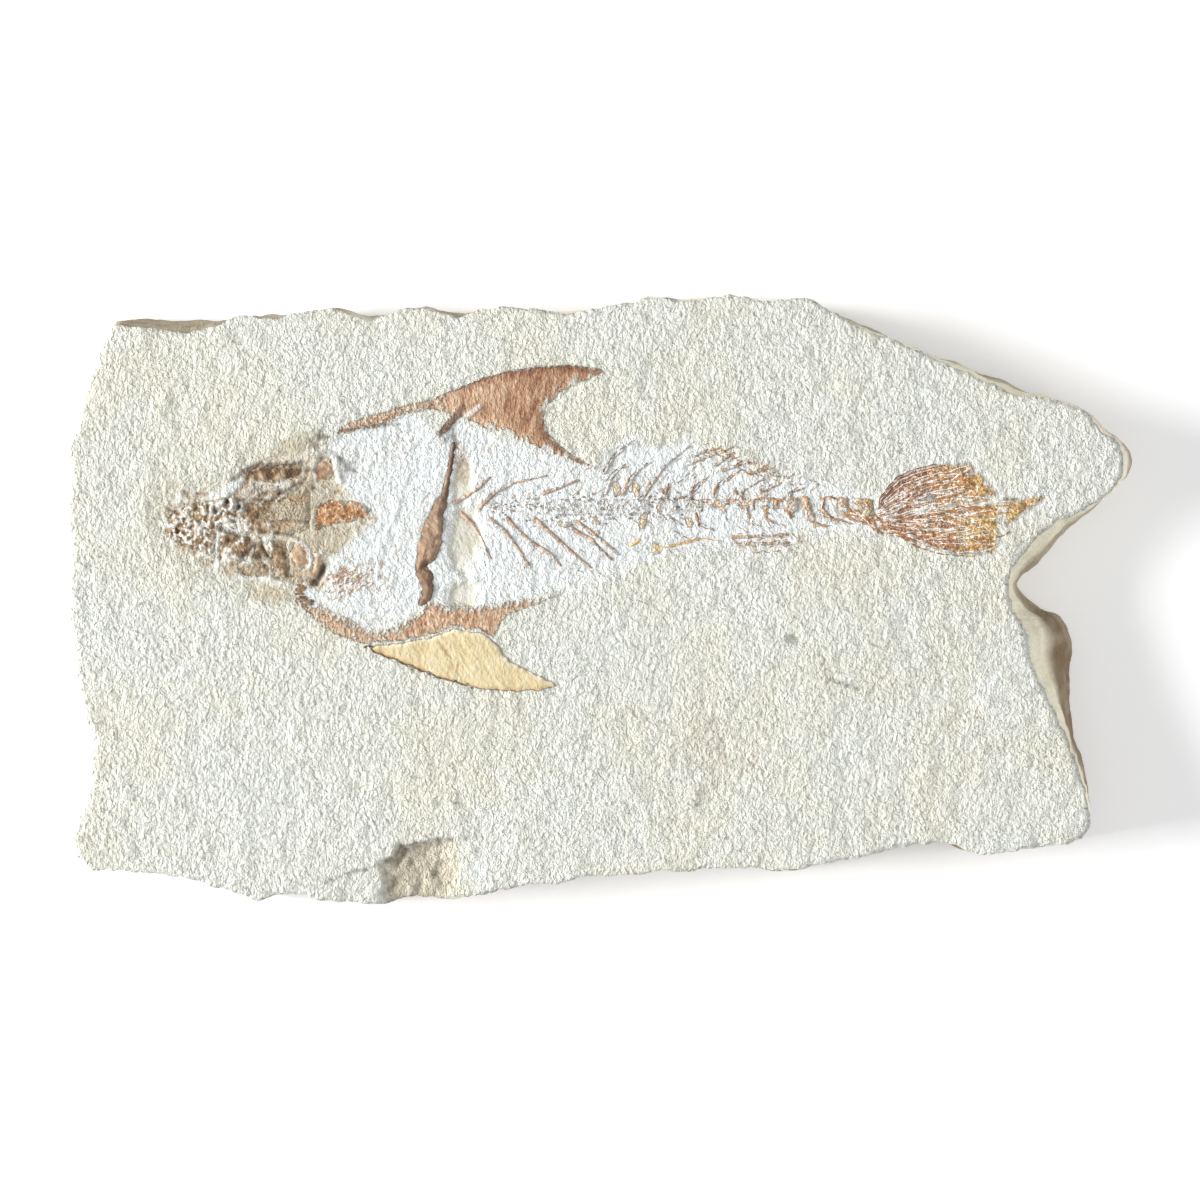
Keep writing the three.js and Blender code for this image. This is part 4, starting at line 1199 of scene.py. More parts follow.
skullKinds = {
    "snout": (snoutLook, paintSnout, "head_bone"),
    "gill_cover": (tanPlateLook, paintSmoothPlate, "rust_bone"),
    "gill_rim": (tanPlateLook, paintSmoothPlate, "head_bone"),
    "nape_plate": (tanPlateLook, paintSmoothPlate, "rust_bone"),
    "temple_plate": (rustPlateLook, paintRustPlate, "rust_bone"),
}
for number, name in enumerate(skullNames):
    look, paint, slotName = skullKinds.get(name, (plateLook, paintPlate, "head_bone"))
    makeBone(name, look, slotName, 900 + number * 11, paint)
makeBone("shoulder_bar", barLook, "head_bone", 1100, paintBar)
print("skull plates and shoulder bar:", len(skullNames) + 1)

finLook = {"step": 0.32, "wobble": 0.22, "relief": 0.26, "bevel": 2.2, "bury": -0.02, "finish": "fin",
           "soft": 0.9, "soften": 1.6, "wobbleSize": 2.0, "gentle": True}
lobeLook = dict(finLook, finish="lobe", relief=0.34, wobble=0.25, bevel=1.4, soft=0.45)


def paintUpperFin(points, depth, u, v, seed):
    outline = outlines["upper_fin"]
    rim = depthFacing(points, outline, (-0.3, 1))
    lower = depthFacing(points, outline, (-0.3, -1))
    front = 1 - smoothstep(0.34, 0.52, u)
    blade = 1 - front
    streaks = grain(turned(points, 12), (0.9, 5.5), seed + 1)
    streaks = streaks + 0.7 * grain(turned(points, 20), (2.4, 8.0), seed + 4)
    pebbles = rough(points, 0.85, seed + 2, 2, 0.6)
    tone = blade * (0.32 + 0.24 * (1 - smoothstep(0.42, 0.75, u)) - 0.1 * smoothstep(0.6, 0.9, u)
                    + 0.2 * streaks + 0.08 * pebbles + 0.3 * (1 - smoothstep(0, 3.5, lower)))
    tone -= blade * 0.3 * (1 - smoothstep(0.3, 2.6, rim + 0.5 * pebbles))
    tone += front * (0.66 + 0.35 * pebbles)
    tone = mixed(tone, 0.30, 0.6 * smoothstep(0.86, 1.0, u))
    fibres = smoothstep(-0.3, 0.5, streaks)
    fade = blade * (1 - smoothstep(0.3, 2.6, lower)) * fibres * (1 - smoothstep(0.9, 1.0, u))
    frayed = 0.55 + 0.4 * (1 - smoothstep(0, 2.0, lower))
    fade = np.maximum(fade, front * smoothstep(-0.35, 0.5, pebbles) * frayed)
    dust = front * 0.45 * smoothstep(0.1, 0.8, pebbles)
    dust = dust + 0.4 * blade * (1 - smoothstep(0, 2.2, lower)) * fibres
    dust += 0.25 * blade * smoothstep(0.5, 1.0, streaks)
    lift = 0.05 * streaks * blade + (0.02 + front * 0.14) * pebbles
    grime = 0.3 * (1 - smoothstep(0.1, 0.8, rim)) * blade
    return {"tone": tone, "powder": dust, "grime": grime, "fade": fade}, lift


def paintLowerFin(points, depth, u, v, seed):
    pebbles = rough(points, 0.85, seed + 1, 2, 0.6)
    front = 1 - smoothstep(0.3, 0.5, u)
    upper = depthFacing(points, outlines["lower_fin"], (0.2, 1))
    streaks = grain(turned(points, 20), (0.9, 4.2), seed + 2)
    tone = 0.54 + 0.2 * pebbles + 0.14 * front + 0.2 * streaks * (1 - front)
    dust = 0.4 * front * smoothstep(0.0, 0.6, pebbles)
    fade = (1 - smoothstep(0.2, 2.4, upper)) * (0.3 + 0.7 * smoothstep(-0.3, 0.4, streaks + 0.5 * pebbles))
    fade = np.maximum(fade, 0.7 * front * smoothstep(0.0, 0.6, pebbles))
    lift = 0.12 * pebbles * (0.25 + 0.75 * front)
    return {"tone": tone, "powder": dust, "fade": fade}, lift


def paintLobe(points, depth, u, v, seed):
    outline = outlines["lower_fin_lobe"]
    upper = depthFacing(points, outline, (0.2, 1))
    lower = depthFacing(points, outline, (-0.4, -1))
    lip = 1 - smoothstep(0.3, 1.3, upper)
    pleats = grain(turned(points, -35), (0.7, 6.0), seed + 1)
    # the raised upper lip is painted paler: a pale edge, partly painted highlight
    tone = 0.44 + 0.12 * rough(points, 4.0, seed + 2, 2) + 0.08 * pleats + 0.4 * lip
    tone -= 0.3 * (1 - smoothstep(0.2, 1.4, lower)) + 0.3 * (1 - smoothstep(0.0, 0.12, u))
    border = (1 - smoothstep(0.15, 0.5, lower)) * (1 - smoothstep(0.35, 0.6, u))
    lift = 0.25 * lip + 0.05 * pleats
    return {"tone": tone, "powder": 0.25 * lip, "grime": 0.8 * border}, lift


makeBone("upper_fin", finLook, "fin_bone", 1200, paintUpperFin)
makeBone("lower_fin", finLook, "fin_bone", 1230, paintLowerFin)
makeBone("lower_fin_lobe", lobeLook, "pale_bone", 1260, paintLobe)
print("side fins: 3")

# the tail fin: fanned rays on a stained skin

tailLook = {
    "step": 0.28, "wobble": 0.4, "wobbleSize": 1.6, "soften": 2.0,
    "relief": 0.22, "bevel": 1.6, "bury": 0.14, "soft": 1.0, "gentle": True, "finish": "rust",
    "arcs": 10,              # long nested rays of the upper border
    "levels": 14,            # nearly level rays of the lower half
    "rays": 190,             # short rays fanned through the middle
    "rootRays": 14,          # rays of the bundle that leads into the root
    "rayHeight": 0.2,
}


# a low rounded strand of bone lying on the stone
def strand(path, widthStart, widthEnd, height, look, sides=5):
    path = np.asarray(path)
    count = len(path)
    along = np.gradient(path, axis=0)
    along /= np.maximum(np.hypot(along[:, 0], along[:, 1]), 1e-9)[:, None]
    across = np.column_stack([-along[:, 1], along[:, 0]])
    share = np.linspace(0, 1, count)
    half = mixed(widthStart, widthEnd, share) / 2 * np.minimum(1, 6 * np.minimum(share, 1 - share) + 0.3)
    half = half * (1 + 0.3 * grain(path, 0.9, 301))
    angles = np.arange(sides) / sides * 2 * math.pi + math.pi / sides
    rings = []
    for angle in angles:
        flat = path + across * (half * math.cos(angle))[:, None]
        rings.append(np.column_stack([flat, height * (0.1 + math.sin(angle)) * (half / half.max())]))
    places = np.stack(rings, axis=1).reshape(-1, 3)
    triangles = []
    for k in range(count - 1):
        for side in range(sides):
            a, b = k * sides + side, k * sides + (side + 1) % sides
            triangles += [(a, a + sides, b), (b, a + sides, b + sides)]
    last = (count - 1) * sides
    for side in range(1, sides - 1):
        triangles.append((0, side, side + 1))
        triangles.append((last, last + side + 1, last + side))
    return places, np.array(triangles), look


# a low crumb of bone: centre, radii, lean and height
def crumb(centre, radii, lean, height, look, seed, sides=14):
    angles = np.arange(sides) / sides * 2 * math.pi
    rim = np.column_stack([np.cos(angles) * radii[0], np.sin(angles) * radii[1]])
    rim *= (1 + 0.28 * grain(rim + seed * 3.7, 1.1, seed))[:, None]
    rings = [turned(rim * size, -lean) + np.array(centre) for size in (1.0, 0.66, 0.3)]
    places = [np.column_stack([rings[0], np.full(sides, -0.3)])]
    for ring, share in zip(rings, (0.0, 0.75, 1.0)):
        places.append(np.column_stack([ring, np.full(sides, height * share)]))
    triangles = [bandBetween(k * sides, (k + 1) * sides, sides)[:, ::-1] for k in range(3)]
    top, bottom = 3 * sides, 0
    fan = np.array([(0, k, k + 1) for k in range(1, sides - 1)])
    triangles += [fan + top, fan[:, ::-1] + bottom]
    fade = np.maximum(np.repeat((0.85, 0.85, 0.3, 0.0), sides), look.get("fade", 0.0))
    return np.vstack(places), np.vstack(triangles), dict(look, fade=fade)


# many small strands and crumbs as one mesh
def joined(name, parts, finish, slotName):
    places, triangles, layers, total = [], [], {}, 0
    for partPlaces, partTriangles, look in parts:
        places.append(partPlaces)
        triangles.append(partTriangles + total)
        total += len(partPlaces)
        for key in ("tone", "powder", "grime", "warm", "cool", "fade"):
            layers.setdefault(key, []).append(np.broadcast_to(look.get(key, 0.0), len(partPlaces)))
        layers.setdefault("dust", []).append(np.full(len(partPlaces), 0.8))
    places = np.vstack(places)
    places[:, 2] += faceHeight(places[:, :2]) + 0.25 * places[:, 2] * grain(places[:, :2], 0.8, 302)
    piece = makeMesh(name, places, np.vstack(triangles),
                     {key: np.concatenate(values) for key, values in layers.items()}, finishes[finish])
    settle(piece, slotName)
    print(name + ":", len(parts), "parts")


tailRoot = np.array(at("tail_stem", 1.05, 0.15))
upperGuide = np.array([at("tail_upper_lobe", u, v) for u, v in (
    (0.0, 0.0), (0.03, 0.27), (0.10, 0.53), (0.18, 0.70), (0.30, 0.83), (0.45, 0.92), (0.62, 0.98),
    (0.76, 1.0), (0.90, 0.85), (1.0, 0.5))])
middleGuide = np.array([at("tail_lower_lobe", u, v) for u, v in (
    (0.0, 0.70), (0.12, 0.72), (0.25, 0.74), (0.40, 0.78), (0.55, 0.83), (0.70, 0.9), (0.85, 0.96),
    (1.0, 1.0), (1.2, 1.03), (1.35, 1.05))])
lowerGuide = np.array([at("tail_lower_lobe", u, v) for u, v in (
    (0.0, 0.38), (0.12, 0.32), (0.25, 0.24), (0.36, 0.14), (0.48, 0.06), (0.60, 0.02), (0.72, 0.0),
    (0.85, 0.02), (0.95, 0.10), (1.0, 0.25))])


def alongGuide(guide, shares):
    ticks = np.linspace(0, 1, len(guide))
    return np.column_stack([np.interp(shares, ticks, guide[:, 0]), np.interp(shares, ticks, guide[:, 1])])


def fanPath(side, start, end, count=16):
    shares = np.linspace(start, end, count)
    middle = alongGuide(middleGuide, shares)
    outer = alongGuide(upperGuide if side > 0 else lowerGuide, shares)
    return mixed(middle, outer, abs(side))


# lilac brown at the root, then orange, then ochre at the far end
def tailHues(points):
    reach = np.hypot(*(points - tailRoot).T) / (at("tail_lower_lobe", 1, 0)[0] - tailRoot[0])
    high = smoothstep(-2, 6, points[:, 1] - tailRoot[1] - 2)
    cool = (1 - smoothstep(0.2, 0.55, reach + 0.15 * grain(points, 5, 330))) * (0.3 + 0.4 * high)
    warm = smoothstep(0.45, 1.05, reach + 0.2 * grain(points, 5, 331))
    return cool, warm


# solid rust and orange patches among the rays, and where plain dust shows
tailPatches = [
    (at("tail_upper_lobe", 0.48, 0.60), (3.2, 1.2), -20, 0.95),
    (at("tail_upper_lobe", 0.76, 0.64), (2.8, 1.3), 12, 0.75),
    (at("tail_upper_lobe", 0.80, 0.45), (4.2, 1.7), 0, 0.55),
    (at("tail_upper_lobe", 0.53, 0.23), (1.5, 1.5), 0, 0.9),
    (at("tail_lower_lobe", 0.68, 0.11), (3.0, 0.9), 0, 0.9),
    (at("tail_lower_lobe", 0.06, 0.45), (3.0, 1.6), 10, 0.7),
    (at("tail_lower_lobe", 0.92, 0.55), (3.0, 5.5), 0, 0.5),
    (at("tail_tip_lobe", 0.30, 0.50), (4.5, 1.5), -12, 0.75),
]


def paintTail(points, depth, u, v, seed):
    away = points - tailRoot
    polar = np.column_stack([np.arctan2(away[:, 1], away[:, 0]) * 18, np.hypot(away[:, 0], away[:, 1])])
    streaks = grain(polar, (0.55, 4.0), seed + 1) + 0.6 * grain(polar, (1.3, 7.0), seed + 2)
    specks = rough(points, 0.75, seed + 3, 2, 0.7)
    shown = 0.14 * streaks + 0.52
    for centre, radii, lean, strength in tailPatches:
        shown = np.maximum(shown, strength * onSpot(points, centre, radii, lean, 332, 0.5))
    rightEnd = smoothstep(0.4, 0.9, (points[:, 0] - tailRoot[0]) / 28)
    bare = onSpot(points, at("tail_upper_lobe", 0.38, 0.22), (3.4, 2.6), 0, 333, 0.3)
    shown = shown - 0.4 * bare + 0.16 * rightEnd
    tone = 0.62 + 0.2 * streaks + 0.3 * specks - 0.2 * shown
    fade = 1 - smoothstep(0.2, 0.62, shown + 0.42 * specks)
    dust = 0.2 + 0.35 * specks
    cool, warm = tailHues(points)
    layers = {"tone": tone, "powder": dust, "fade": fade, "cool": cool, "warm": warm}
    return layers, 0.07 * streaks + 0.10 * specks


# one tail ray, dark or chalky, broken here and there
def tailRay(parts, path, width, tone, powder, rng):
    path = shaken(path, 0.18, (2.2, 2.2), (340, 341))
    length = len(path)
    first = 0
    while first < length - 5:
        last = min(length, first + int(rng.uniform(12, 34)))
        piece = path[first:last]
        if len(piece) > 4:
            cool, warm = tailHues(piece.mean(axis=0)[None, :])
            look = {"tone": tone + rng.uniform(-0.12, 0.12), "powder": powder, "cool": cool[0],
                    "warm": 0.8 * warm[0]}
            parts.append(strand(piece, width, width * 0.85, tailLook["rayHeight"], look))
        first = last + int(rng.uniform(0, 3))


def makeTail():
    look = tailLook
    rng = np.random.default_rng(77)
    for number, name in enumerate(tailNames):
        makeBone(name, look, "rust_bone", 1300 + number * 20, paintTail)
    parts = []
    for k in range(look["arcs"]):
        side = 1.0 - 0.06 * k
        end = min(0.70, 0.42 + 0.05 * ((k * 3) % 5) + 0.05 * k) if k else 0.60
        tailRay(parts, fanPath(side, 0.02 + 0.008 * k, end, 110), 0.28, 0.16 + 0.03 * k, 0.0, rng)
        if k % 2:
            tailRay(parts, fanPath(side - 0.03, 0.05, end - 0.05, 100), 0.3, 1.0, 1.0, rng)
    for k in range(look["levels"]):
        side = -1.0 + 0.075 * k
        start = rng.uniform(0.14, 0.34)
        chalky = k % 2 == 1
        tailRay(parts, fanPath(side, start, rng.uniform(0.72, 0.95), 100), 0.32,
                0.9 if chalky else rng.uniform(0.25, 0.5), 0.9 if chalky else 0.0, rng)
    for k in range(look["rays"]):
        side = rng.uniform(-0.9, 0.8)
        start = rng.uniform(0.0, 0.62)
        chalky = rng.uniform() < 0.55
        path = fanPath(side, start, start + rng.uniform(0.06, 0.2), 26)
        path = path[0] + turned(path - path[0], rng.normal(0, 13))
        tailRay(parts, path, rng.uniform(0.26, 0.5), 1.0 if chalky else rng.uniform(0.2, 0.6),
                1.0 if chalky else 0.0, rng)
    for k in range(look["rootRays"]):
        start = np.array(at("vertebra_9", rng.uniform(0.35, 1.0), rng.uniform(0.35, 0.95)))
        end = np.array(at("tail_lower_lobe", rng.uniform(-0.02, 0.05), rng.uniform(0.35, 0.75)))
        path = curve([start, (start + end) / 2 + rng.uniform(-0.3, 0.3, 2), end])
        chalky = k % 3 == 2
        parts.append(strand(path, 0.5, 0.35, 0.3, {"tone": 0.9 if chalky else rng.uniform(0.2, 0.5),
                                                   "powder": 0.9 if chalky else 0.0, "warm": 0.25}))
    joined("tail_rays", parts, "rust", "rust_bone")


makeTail()

# scraps: hairs, crescents and crumbs of bone along the trunk, each set one mesh

scrapCounts = {
    "hairs": 120, "skinStreaks": 130, "rootStreaks": 34, "backStrokes": 75, "flecks": 300,
    "lobeCrumbs": 60, "jawCrumbs": 46,
}


# a row of hair-thin spine tips above the backbone
def makeHairs():
    rng = np.random.default_rng(91)
    parts = []
    lookDark = {"tone": 0.05, "warm": 0.1}

    # a short straight hair: its middle, lean, half length, then its two widths and height
    def hair(centre, lean, half, size, look):
        angle = math.radians(lean)
        reach = half * np.array([math.cos(angle), math.sin(angle)])
        parts.append(strand(curve([centre - reach, centre, centre + reach]), *size, look))

    hairLines = [
        trail("front_spine_3", (0.25, 0.5), (0.6, 0.8), (1.0, 1.0)),
        trail("front_spine_2", (0.1, 0.4), (0.5, 0.75), "front_spine_1", (1.0, 0.3)),
        trail("front_spine_1", (0.0, 0.1), (0.5, 0.7), (1.1, 1.05)),
        trail("vertebra_1", (0.57, 0.75), (0.95, 0.95)),
        trail("vertebra_2", (0.25, 0.64), (0.45, 0.85), (0.79, 1.0)),
        trail("vertebra_3", (0.3, 0.7), (0.55, 0.82), (0.92, 0.97)),
        trail("vertebra_4", (0.22, 0.77), (0.77, 0.97), (1.0, 1.03)),
        trail("vertebra_5", (0.13, 0.76), (0.85, 0.95)),
        trail("vertebra_6", (0.2, 0.77), (0.9, 0.96)),
        trail("vertebra_1", (0.5, -0.0), (0.9, -0.15)),
        trail("vertebra_2", (0.55, 0.1), (0.95, 0.02)),
        trail("vertebra_4", (0.52, 0.18), (0.85, 0.02)),
        trail("vertebra_5", (0.45, 0.12), (0.85, 0.0)),
    ]
    for line in hairLines:
        path = shaken(curve(line), 0.2, (1.6, 1.6), (350, 360))
        for first in range(0, len(path) - 3, 6):
            parts.append(strand(path[first:first + 6], 0.22, 0.14, 0.12, lookDark))
    # short hairs strewn through the trunk, leaning away from the backbone
    backbone = at("backbone_front", 0, 0.5)[1]
    for _ in range(scrapCounts["hairs"]):
        centre = np.array(at("slab", rng.uniform(0.47, 0.72), 0.0))
        centre[1] = at("backbone_front", 0, rng.uniform(-3.2, 4.2))[1]
        if depthInside(centre[None, :], bodyOutline)[0] < 0.5:
            continue
        hair(centre, rng.uniform(25, 60) * (1 if centre[1] > backbone else -1), rng.uniform(0.4, 1.3),
             (0.18, 0.12, 0.1), {"tone": rng.uniform(0.05, 0.6)})
    # streaks of the torn skin behind the jaw
    for _ in range(scrapCounts["skinStreaks"]):
        centre = np.array(at("lower_fin", 0.2, 1.25)) + rng.normal(0, 1, 2) * np.array([2.6, 1.7])
        hair(centre, rng.uniform(15, 60), rng.uniform(0.25, 0.9), (0.24, 0.16, 0.12),
             {"tone": rng.uniform(0.3, 0.8), "warm": 0.5})
    joined("trunk_hairs", parts, "thin", "thin_bone")


# rust bases of the spines, the thin line along the backbone and the crescents under it
def makeCrescents():
    rng = np.random.default_rng(92)
    parts = []
    rustLook = {"tone": 0.58, "warm": 0.05, "powder": 0.28, "fade": 0.22}

    def stroke(line, width, height=0.26, copies=2, **look):
        for copy in range(copies):
            path = curve(line) + rng.uniform(-0.3, 0.3, 2) * copy
            path = shaken(path, 0.22, (1.3, 1.3), (370 + copy, 380 + copy))
            share = 0.72 if copy == 0 else 0.45
            parts.append(strand(path, width * share, width * share * 0.7, height, dict(rustLook, **look)))

    stroke(trail("front_spine_3", (0.27, 0.5), (0.1, 0.2), (0.0, 0.0)), 0.85)
    stroke(trail("front_spine_4", (0.17, 0.28), (0.1, 0.1), (0.03, -0.03)), 0.8)
    stroke(trail("vertebra_1", (0.39, 0.76), (0.34, 0.58)), 0.7, tone=0.2)
    stroke(trail("vertebra_1", (0.20, 0.68), (0.25, 0.59)), 0.7, tone=0.25)
    stroke(trail("vertebra_2", (0.38, 0.84), (0.26, 0.66)), 0.5, tone=0.3)
    stroke(trail("vertebra_3", (0.30, 0.70), (0.22, 0.56), (0.20, 0.43)), 0.85)
    stroke(trail("vertebra_4", (0.02, 0.80), (0.12, 0.70)), 0.9, warm=0.5)
    stroke(trail("vertebra_5", (0.10, 0.84), (0.05, 0.70)), 0.7, warm=0.5)
    stroke(trail("vertebra_5", (-0.1, 0.62), (0.6, 0.62), "vertebra_6", (0.1, 0.55)), 0.6)
    # the line along the backbone
    axis = trail("vertebra_1", (0.52, 0.51), "vertebra_2", (0.5, 0.58), "vertebra_3", (0.3, 0.41),
                 "vertebra_4", (0.1, 0.62), "vertebra_5", (0.3, 0.62), "vertebra_6", (0.2, 0.56))
    path = shaken(curve(axis), 0.35, (2.0, 1.5), (390, 391))
    for first in range(0, len(path) - 4, 8):
        parts.append(strand(path[first:first + int(rng.uniform(4, 8))], 0.3, 0.2, 0.16,
                            {"tone": rng.uniform(0.1, 0.5), "cool": 0.3}))
    stroke(trail("vertebra_2", (0.35, 0.56), (0.75, 0.53), (0.98, 0.58)), 0.8)
    stroke(trail("vertebra_3", (0.6, 0.40), (0.95, 0.38), "vertebra_4", (0.35, 0.58)), 0.8)
    stroke(trail("vertebra_5", (0.35, 0.60), (0.9, 0.55)), 0.8)
    # crescents
    stroke(trail("vertebra_2", (0.42, 0.35), (0.46, 0.22), (0.52, 0.10)), 0.9, tone=0.3)
    stroke(trail("vertebra_3", (0.9, 0.32), (1.08, 0.20), "vertebra_4", (0.5, 0.18)), 0.85)
    stroke(trail("vertebra_5", (0.28, 0.47), (0.25, 0.22), (0.5, 0.10)), 0.7)
    stroke(trail("vertebra_6", (0.2, 0.52), (0.27, 0.25), (0.32, 0.0)), 0.95, tone=0.3)
    stroke(trail("vertebra_7", (0.02, 1.05), (0.25, 0.8), (0.3, 0.35), (0.6, 0.1),
                 "vertebra_8", (0.33, -0.05)), 1.0, warm=0.3)
    stroke(trail("vertebra_7", (0.8, 0.95), "vertebra_8", (0.2, 0.75), (0.55, 0.2)), 0.5, tone=0.2)
    stroke(trail("vertebra_9", (-0.1, 0.9), (0.15, 0.95), (0.35, 0.8)), 0.5)
    stroke(trail("vertebra_9", (0.32, 0.95), (0.38, 0.5), (0.6, 0.25), (1.0, 0.1)), 0.9)
    stroke(trail("vertebra_9", (0.0, 0.35), (0.3, 0.25), (0.6, 0.12)), 0.5)
    # rows of streaks under the tail root and strokes along the back
    for _ in range(scrapCounts["rootStreaks"]):
        u, v = rng.uniform(-0.15, 1.15), rng.uniform(-1.3, 3.0)
        start = np.array(at("anal_ray_2", u, v))
        reach = rng.uniform(0.8, 2.6) * (1.0 if 0.2 < u < 0.9 else 0.6)
        stroke([start, start + np.array([reach, rng.uniform(-0.12, 0.18)])], rng.uniform(0.2, 0.4), 0.16, 1,
               tone=rng.uniform(0.15, 0.5), warm=rng.uniform(0, 0.5))
    backLine = curve(trail("dorsal_ray_1", (0.3, 1.1), "dorsal_ray_2", (1.1, 1.1),
                           "dorsal_ray_4", (0.3, 1.2), "dorsal_ray_5", (0.8, 1.1),
                           "vertebra_5", (1.0, 1.08), "vertebra_6", (1.3, 1.15)))
    for _ in range(scrapCounts["backStrokes"]):
        share = rng.uniform(0, 1)
        lift = rng.uniform(-2.6, 0.4) * (1 - 0.5 * share)
        start = backLine[int(share * (len(backLine) - 1))] + np.array([0, lift])
        lean = math.radians(rng.choice([24, 32, -30]) + rng.uniform(-8, 8))
        reach = rng.uniform(0.7, 3.2) * (1 - 0.6 * share)
        end = start + reach * np.array([math.cos(lean), math.sin(lean)])
        stroke([start, (start + end) / 2 + rng.uniform(-0.1, 0.1, 2), end], rng.uniform(0.22, 0.42), 0.16, 1,
               tone=rng.uniform(0.2, 0.6), warm=rng.uniform(0.3, 1.0))
    joined("rust_scraps", parts, "rust", "rust_bone")


# ochre ovals and buff streaks beside the backbone
def makeOchres():
    rng = np.random.default_rng(93)
    parts = []
    ovals = [
        (at("front_spine_2", 0.55, 0.2), (1.0, 1.9), -12),
        (at("front_spine_3", 0.44, 0.2), (1.0, 1.7), -8),
        (at("backbone_front", 0.93, -0.26), (1.1, 1.9), 12),
        (at("vertebra_2", 0.22, 0.17), (1.0, 1.3), -10),
        (at("backbone_front", 0.16, -0.4), (1.0, 0.7), 30),
        (at("rib_below_5", 0.65, 0.70), (1.3, 0.6), -20),
        (at("belly_bone_1", 0.35, 0.55), (1.3, 1.5), -15),
        (at("rib_below_5", 0.66, 0.95), (1.1, 0.7), 30),
    ]
    for centre, radii, lean in ovals:
        look = {"tone": rng.uniform(0.6, 0.85), "powder": 0.3, "fade": 0.42}
        parts.append(crumb(centre, radii, lean, 0.16, look, 400 + len(parts), 22))
    streak = trail("rib_below_6", (1.18, 0.26), (1.3, 0.36), (1.42, 0.46))
    parts.append(strand(curve(streak), 0.9, 0.8, 0.25, {"tone": 0.6, "powder": 0.2}))
    thread = trail("belly_bone_1", (0.9, 0.6), "belly_bone_2", (0.3, 0.35), (0.9, 0.8), (1.7, 0.55))
    parts.append(strand(curve(thread), 0.35, 0.2, 0.2, {"tone": 0.3}))
    joined("ochre_scraps", parts, "ochre", "pale_bone")


# lilac and brown flecks over the front of the backbone, and brown crumbs by the lower fin
def makeFlecks():
    rng = np.random.default_rng(94)
    parts = []
    for k in range(scrapCounts["flecks"]):
        u, v = rng.uniform(-0.5, 1.35), rng.normal(0.5, 0.42)
        centre = at("backbone_front", u, v)
        radius = rng.uniform(0.12, 0.28)
        radii, lean = (radius * rng.uniform(1, 2.4), radius), rng.uniform(-40, 60)
        look = {"tone": rng.uniform(0.3, 0.9), "warm": rng.choice([0.0, 0.0, 0.25])}
        parts.append(crumb(centre, radii, lean, 0.1, look, 500 + k, 7))
    joined("backbone_flecks", parts, "thin", "thin_bone")
    parts = []
    # dark crumbs along the lower border of the cream lobe
    border = np.array(trail("lower_fin_lobe", (0, 0.72), (0.25, 0.36), (0.5, 0.12), (0.75, 0.0)))
    count = scrapCounts["lobeCrumbs"]
    for k in range(count):
        x = at("lower_fin_lobe", mixed(-0.02, 0.55, k / count), 0)[0] + rng.normal(0, 0.18, 2)[0]
        centre = (x, np.interp(x, border[:, 0], border[:, 1]) + rng.normal(0, 0.25))
        radius = rng.uniform(0.12, 0.3)
        look = {"tone": rng.uniform(0, 0.35), "warm": 0.5}
        parts.append(crumb(centre, (radius * 1.5, radius), 25, 0.15, look, 850 + k, 7))
    # and brown ones behind the jaw
    for k in range(scrapCounts["jawCrumbs"]):
        along = rng.uniform(0, 1)
        centre = mixed(np.array(at("jaw_hinge", 1.3, -0.1)), np.array(at("lower_fin", 0.07, 0.75)), along)
        centre = centre + rng.normal(0, 0.7, 2)
        radius = rng.uniform(0.2, 0.45)
        parts.append(crumb(centre, (radius * 1.4, radius), rng.uniform(-60, 60), 0.2,
                           {"tone": rng.uniform(0.1, 0.5), "warm": 0.7}, 780 + k, 7))
    joined("brown_crumbs", parts, "skull", "head_bone")


makeHairs()
makeCrescents()
makeOchres()
makeFlecks()

# light, floor and camera

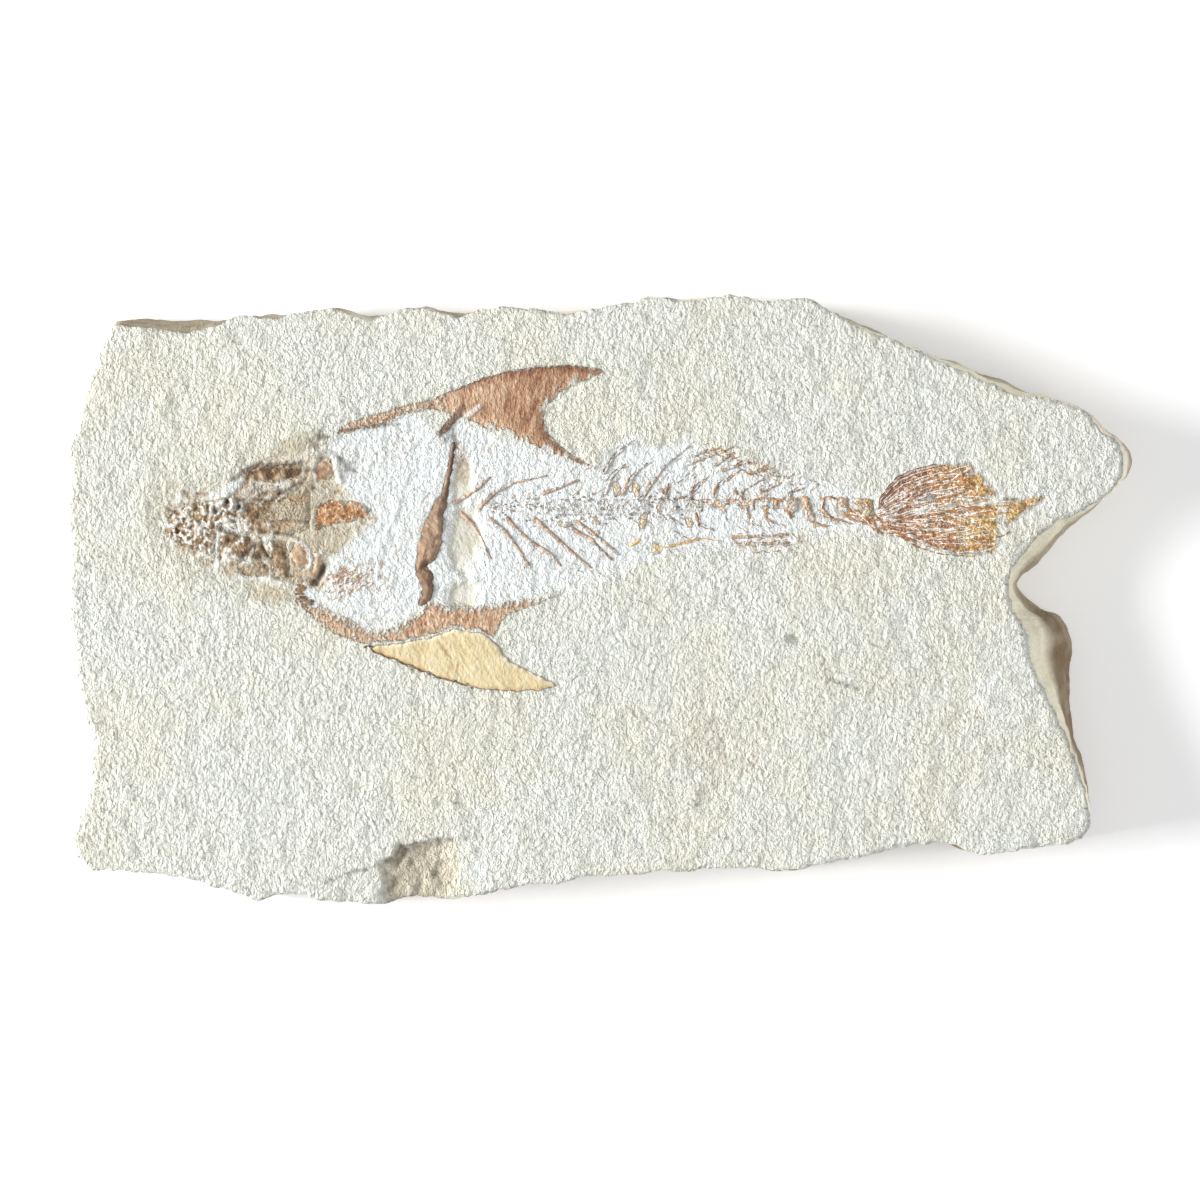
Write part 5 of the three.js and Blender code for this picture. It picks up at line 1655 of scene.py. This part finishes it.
studio = {
    "keyPlace": (-2.95, 0.1, 1.3),
    "keySize": 1.5,
    "keyPower": 187,
    "fillPlace": (2.3, -0.5, 1.9),
    "fillSize": 2.4,
    "fillPower": 34,
    "skyStrength": 0.345,
    "cameraHeight": 1.5,
    "cameraOff": (-0.0006, -0.0002),    # the slab stands a hair off the middle of the picture
    "lens": 200,
    "sensor": 36,
    "floorHalf": 1.5,
    "floorColour": tint(252, 252, 252),
    "floorGlow": 0.22,       # the floor is a faintly lit table, so shadows on it stay pale
}


def makeFloor():
    look = studio
    make = Finish("floorFinish")
    cloud = make.noise(160, 2.0)
    colour = make.blend(cloud * 0.15, look["floorColour"], tint(247, 247, 247))
    make.finish(colour, 0.8 + 0.05 * cloud, cloud, 0.01)
    make.shader.inputs["Emission Color"].default_value = look["floorColour"]
    make.shader.inputs["Emission Strength"].default_value = look["floorGlow"]
    half = look["floorHalf"]
    mesh = bpy.data.meshes.new("studio_floor")
    mesh.from_pydata([(-half, -half, 0), (half, -half, 0), (half, half, 0), (-half, half, 0)], [],
                     [(0, 1, 2, 3)])
    mesh.materials.append(make.material)
    floor = bpy.data.objects.new("studio_floor", mesh)
    bpy.context.scene.collection.objects.link(floor)


def makeLight():
    look = studio
    for name in ("key", "fill"):
        lamp = bpy.data.lights.new(name + "Light", "AREA")
        lamp.size = look[name + "Size"]
        lamp.energy = look[name + "Power"]
        holder = bpy.data.objects.new(name + "Light", lamp)
        holder.location = look[name + "Place"]
        holder.rotation_euler = (-holder.location).to_track_quat("-Z", "Y").to_euler()
        bpy.context.scene.collection.objects.link(holder)
    world = bpy.data.worlds.new("studioSky")
    world.use_nodes = True
    sky = world.node_tree.nodes["Background"]
    sky.inputs["Color"].default_value = (0.97, 0.985, 1.0, 1.0)
    sky.inputs["Strength"].default_value = look["skyStrength"]
    bpy.context.scene.world = world


def makeCamera():
    look = studio
    camera = bpy.data.cameras.new("topCamera")
    camera.lens, camera.sensor_width = look["lens"], look["sensor"]
    camera.clip_end = 20
    holder = bpy.data.objects.new("topCamera", camera)
    low, high = boxes["slab"]
    middle = (low + high) / 2 * mm
    offX, offY = look["cameraOff"]
    holder.location = (middle[0] + offX, middle[1] + offY, high[2] * mm + look["cameraHeight"])
    bpy.context.scene.collection.objects.link(holder)
    bpy.context.scene.camera = holder
    bpy.context.scene.view_settings.view_transform = "Standard"


makeFloor()
makeLight()
makeCamera()
print("floor, light and camera set")
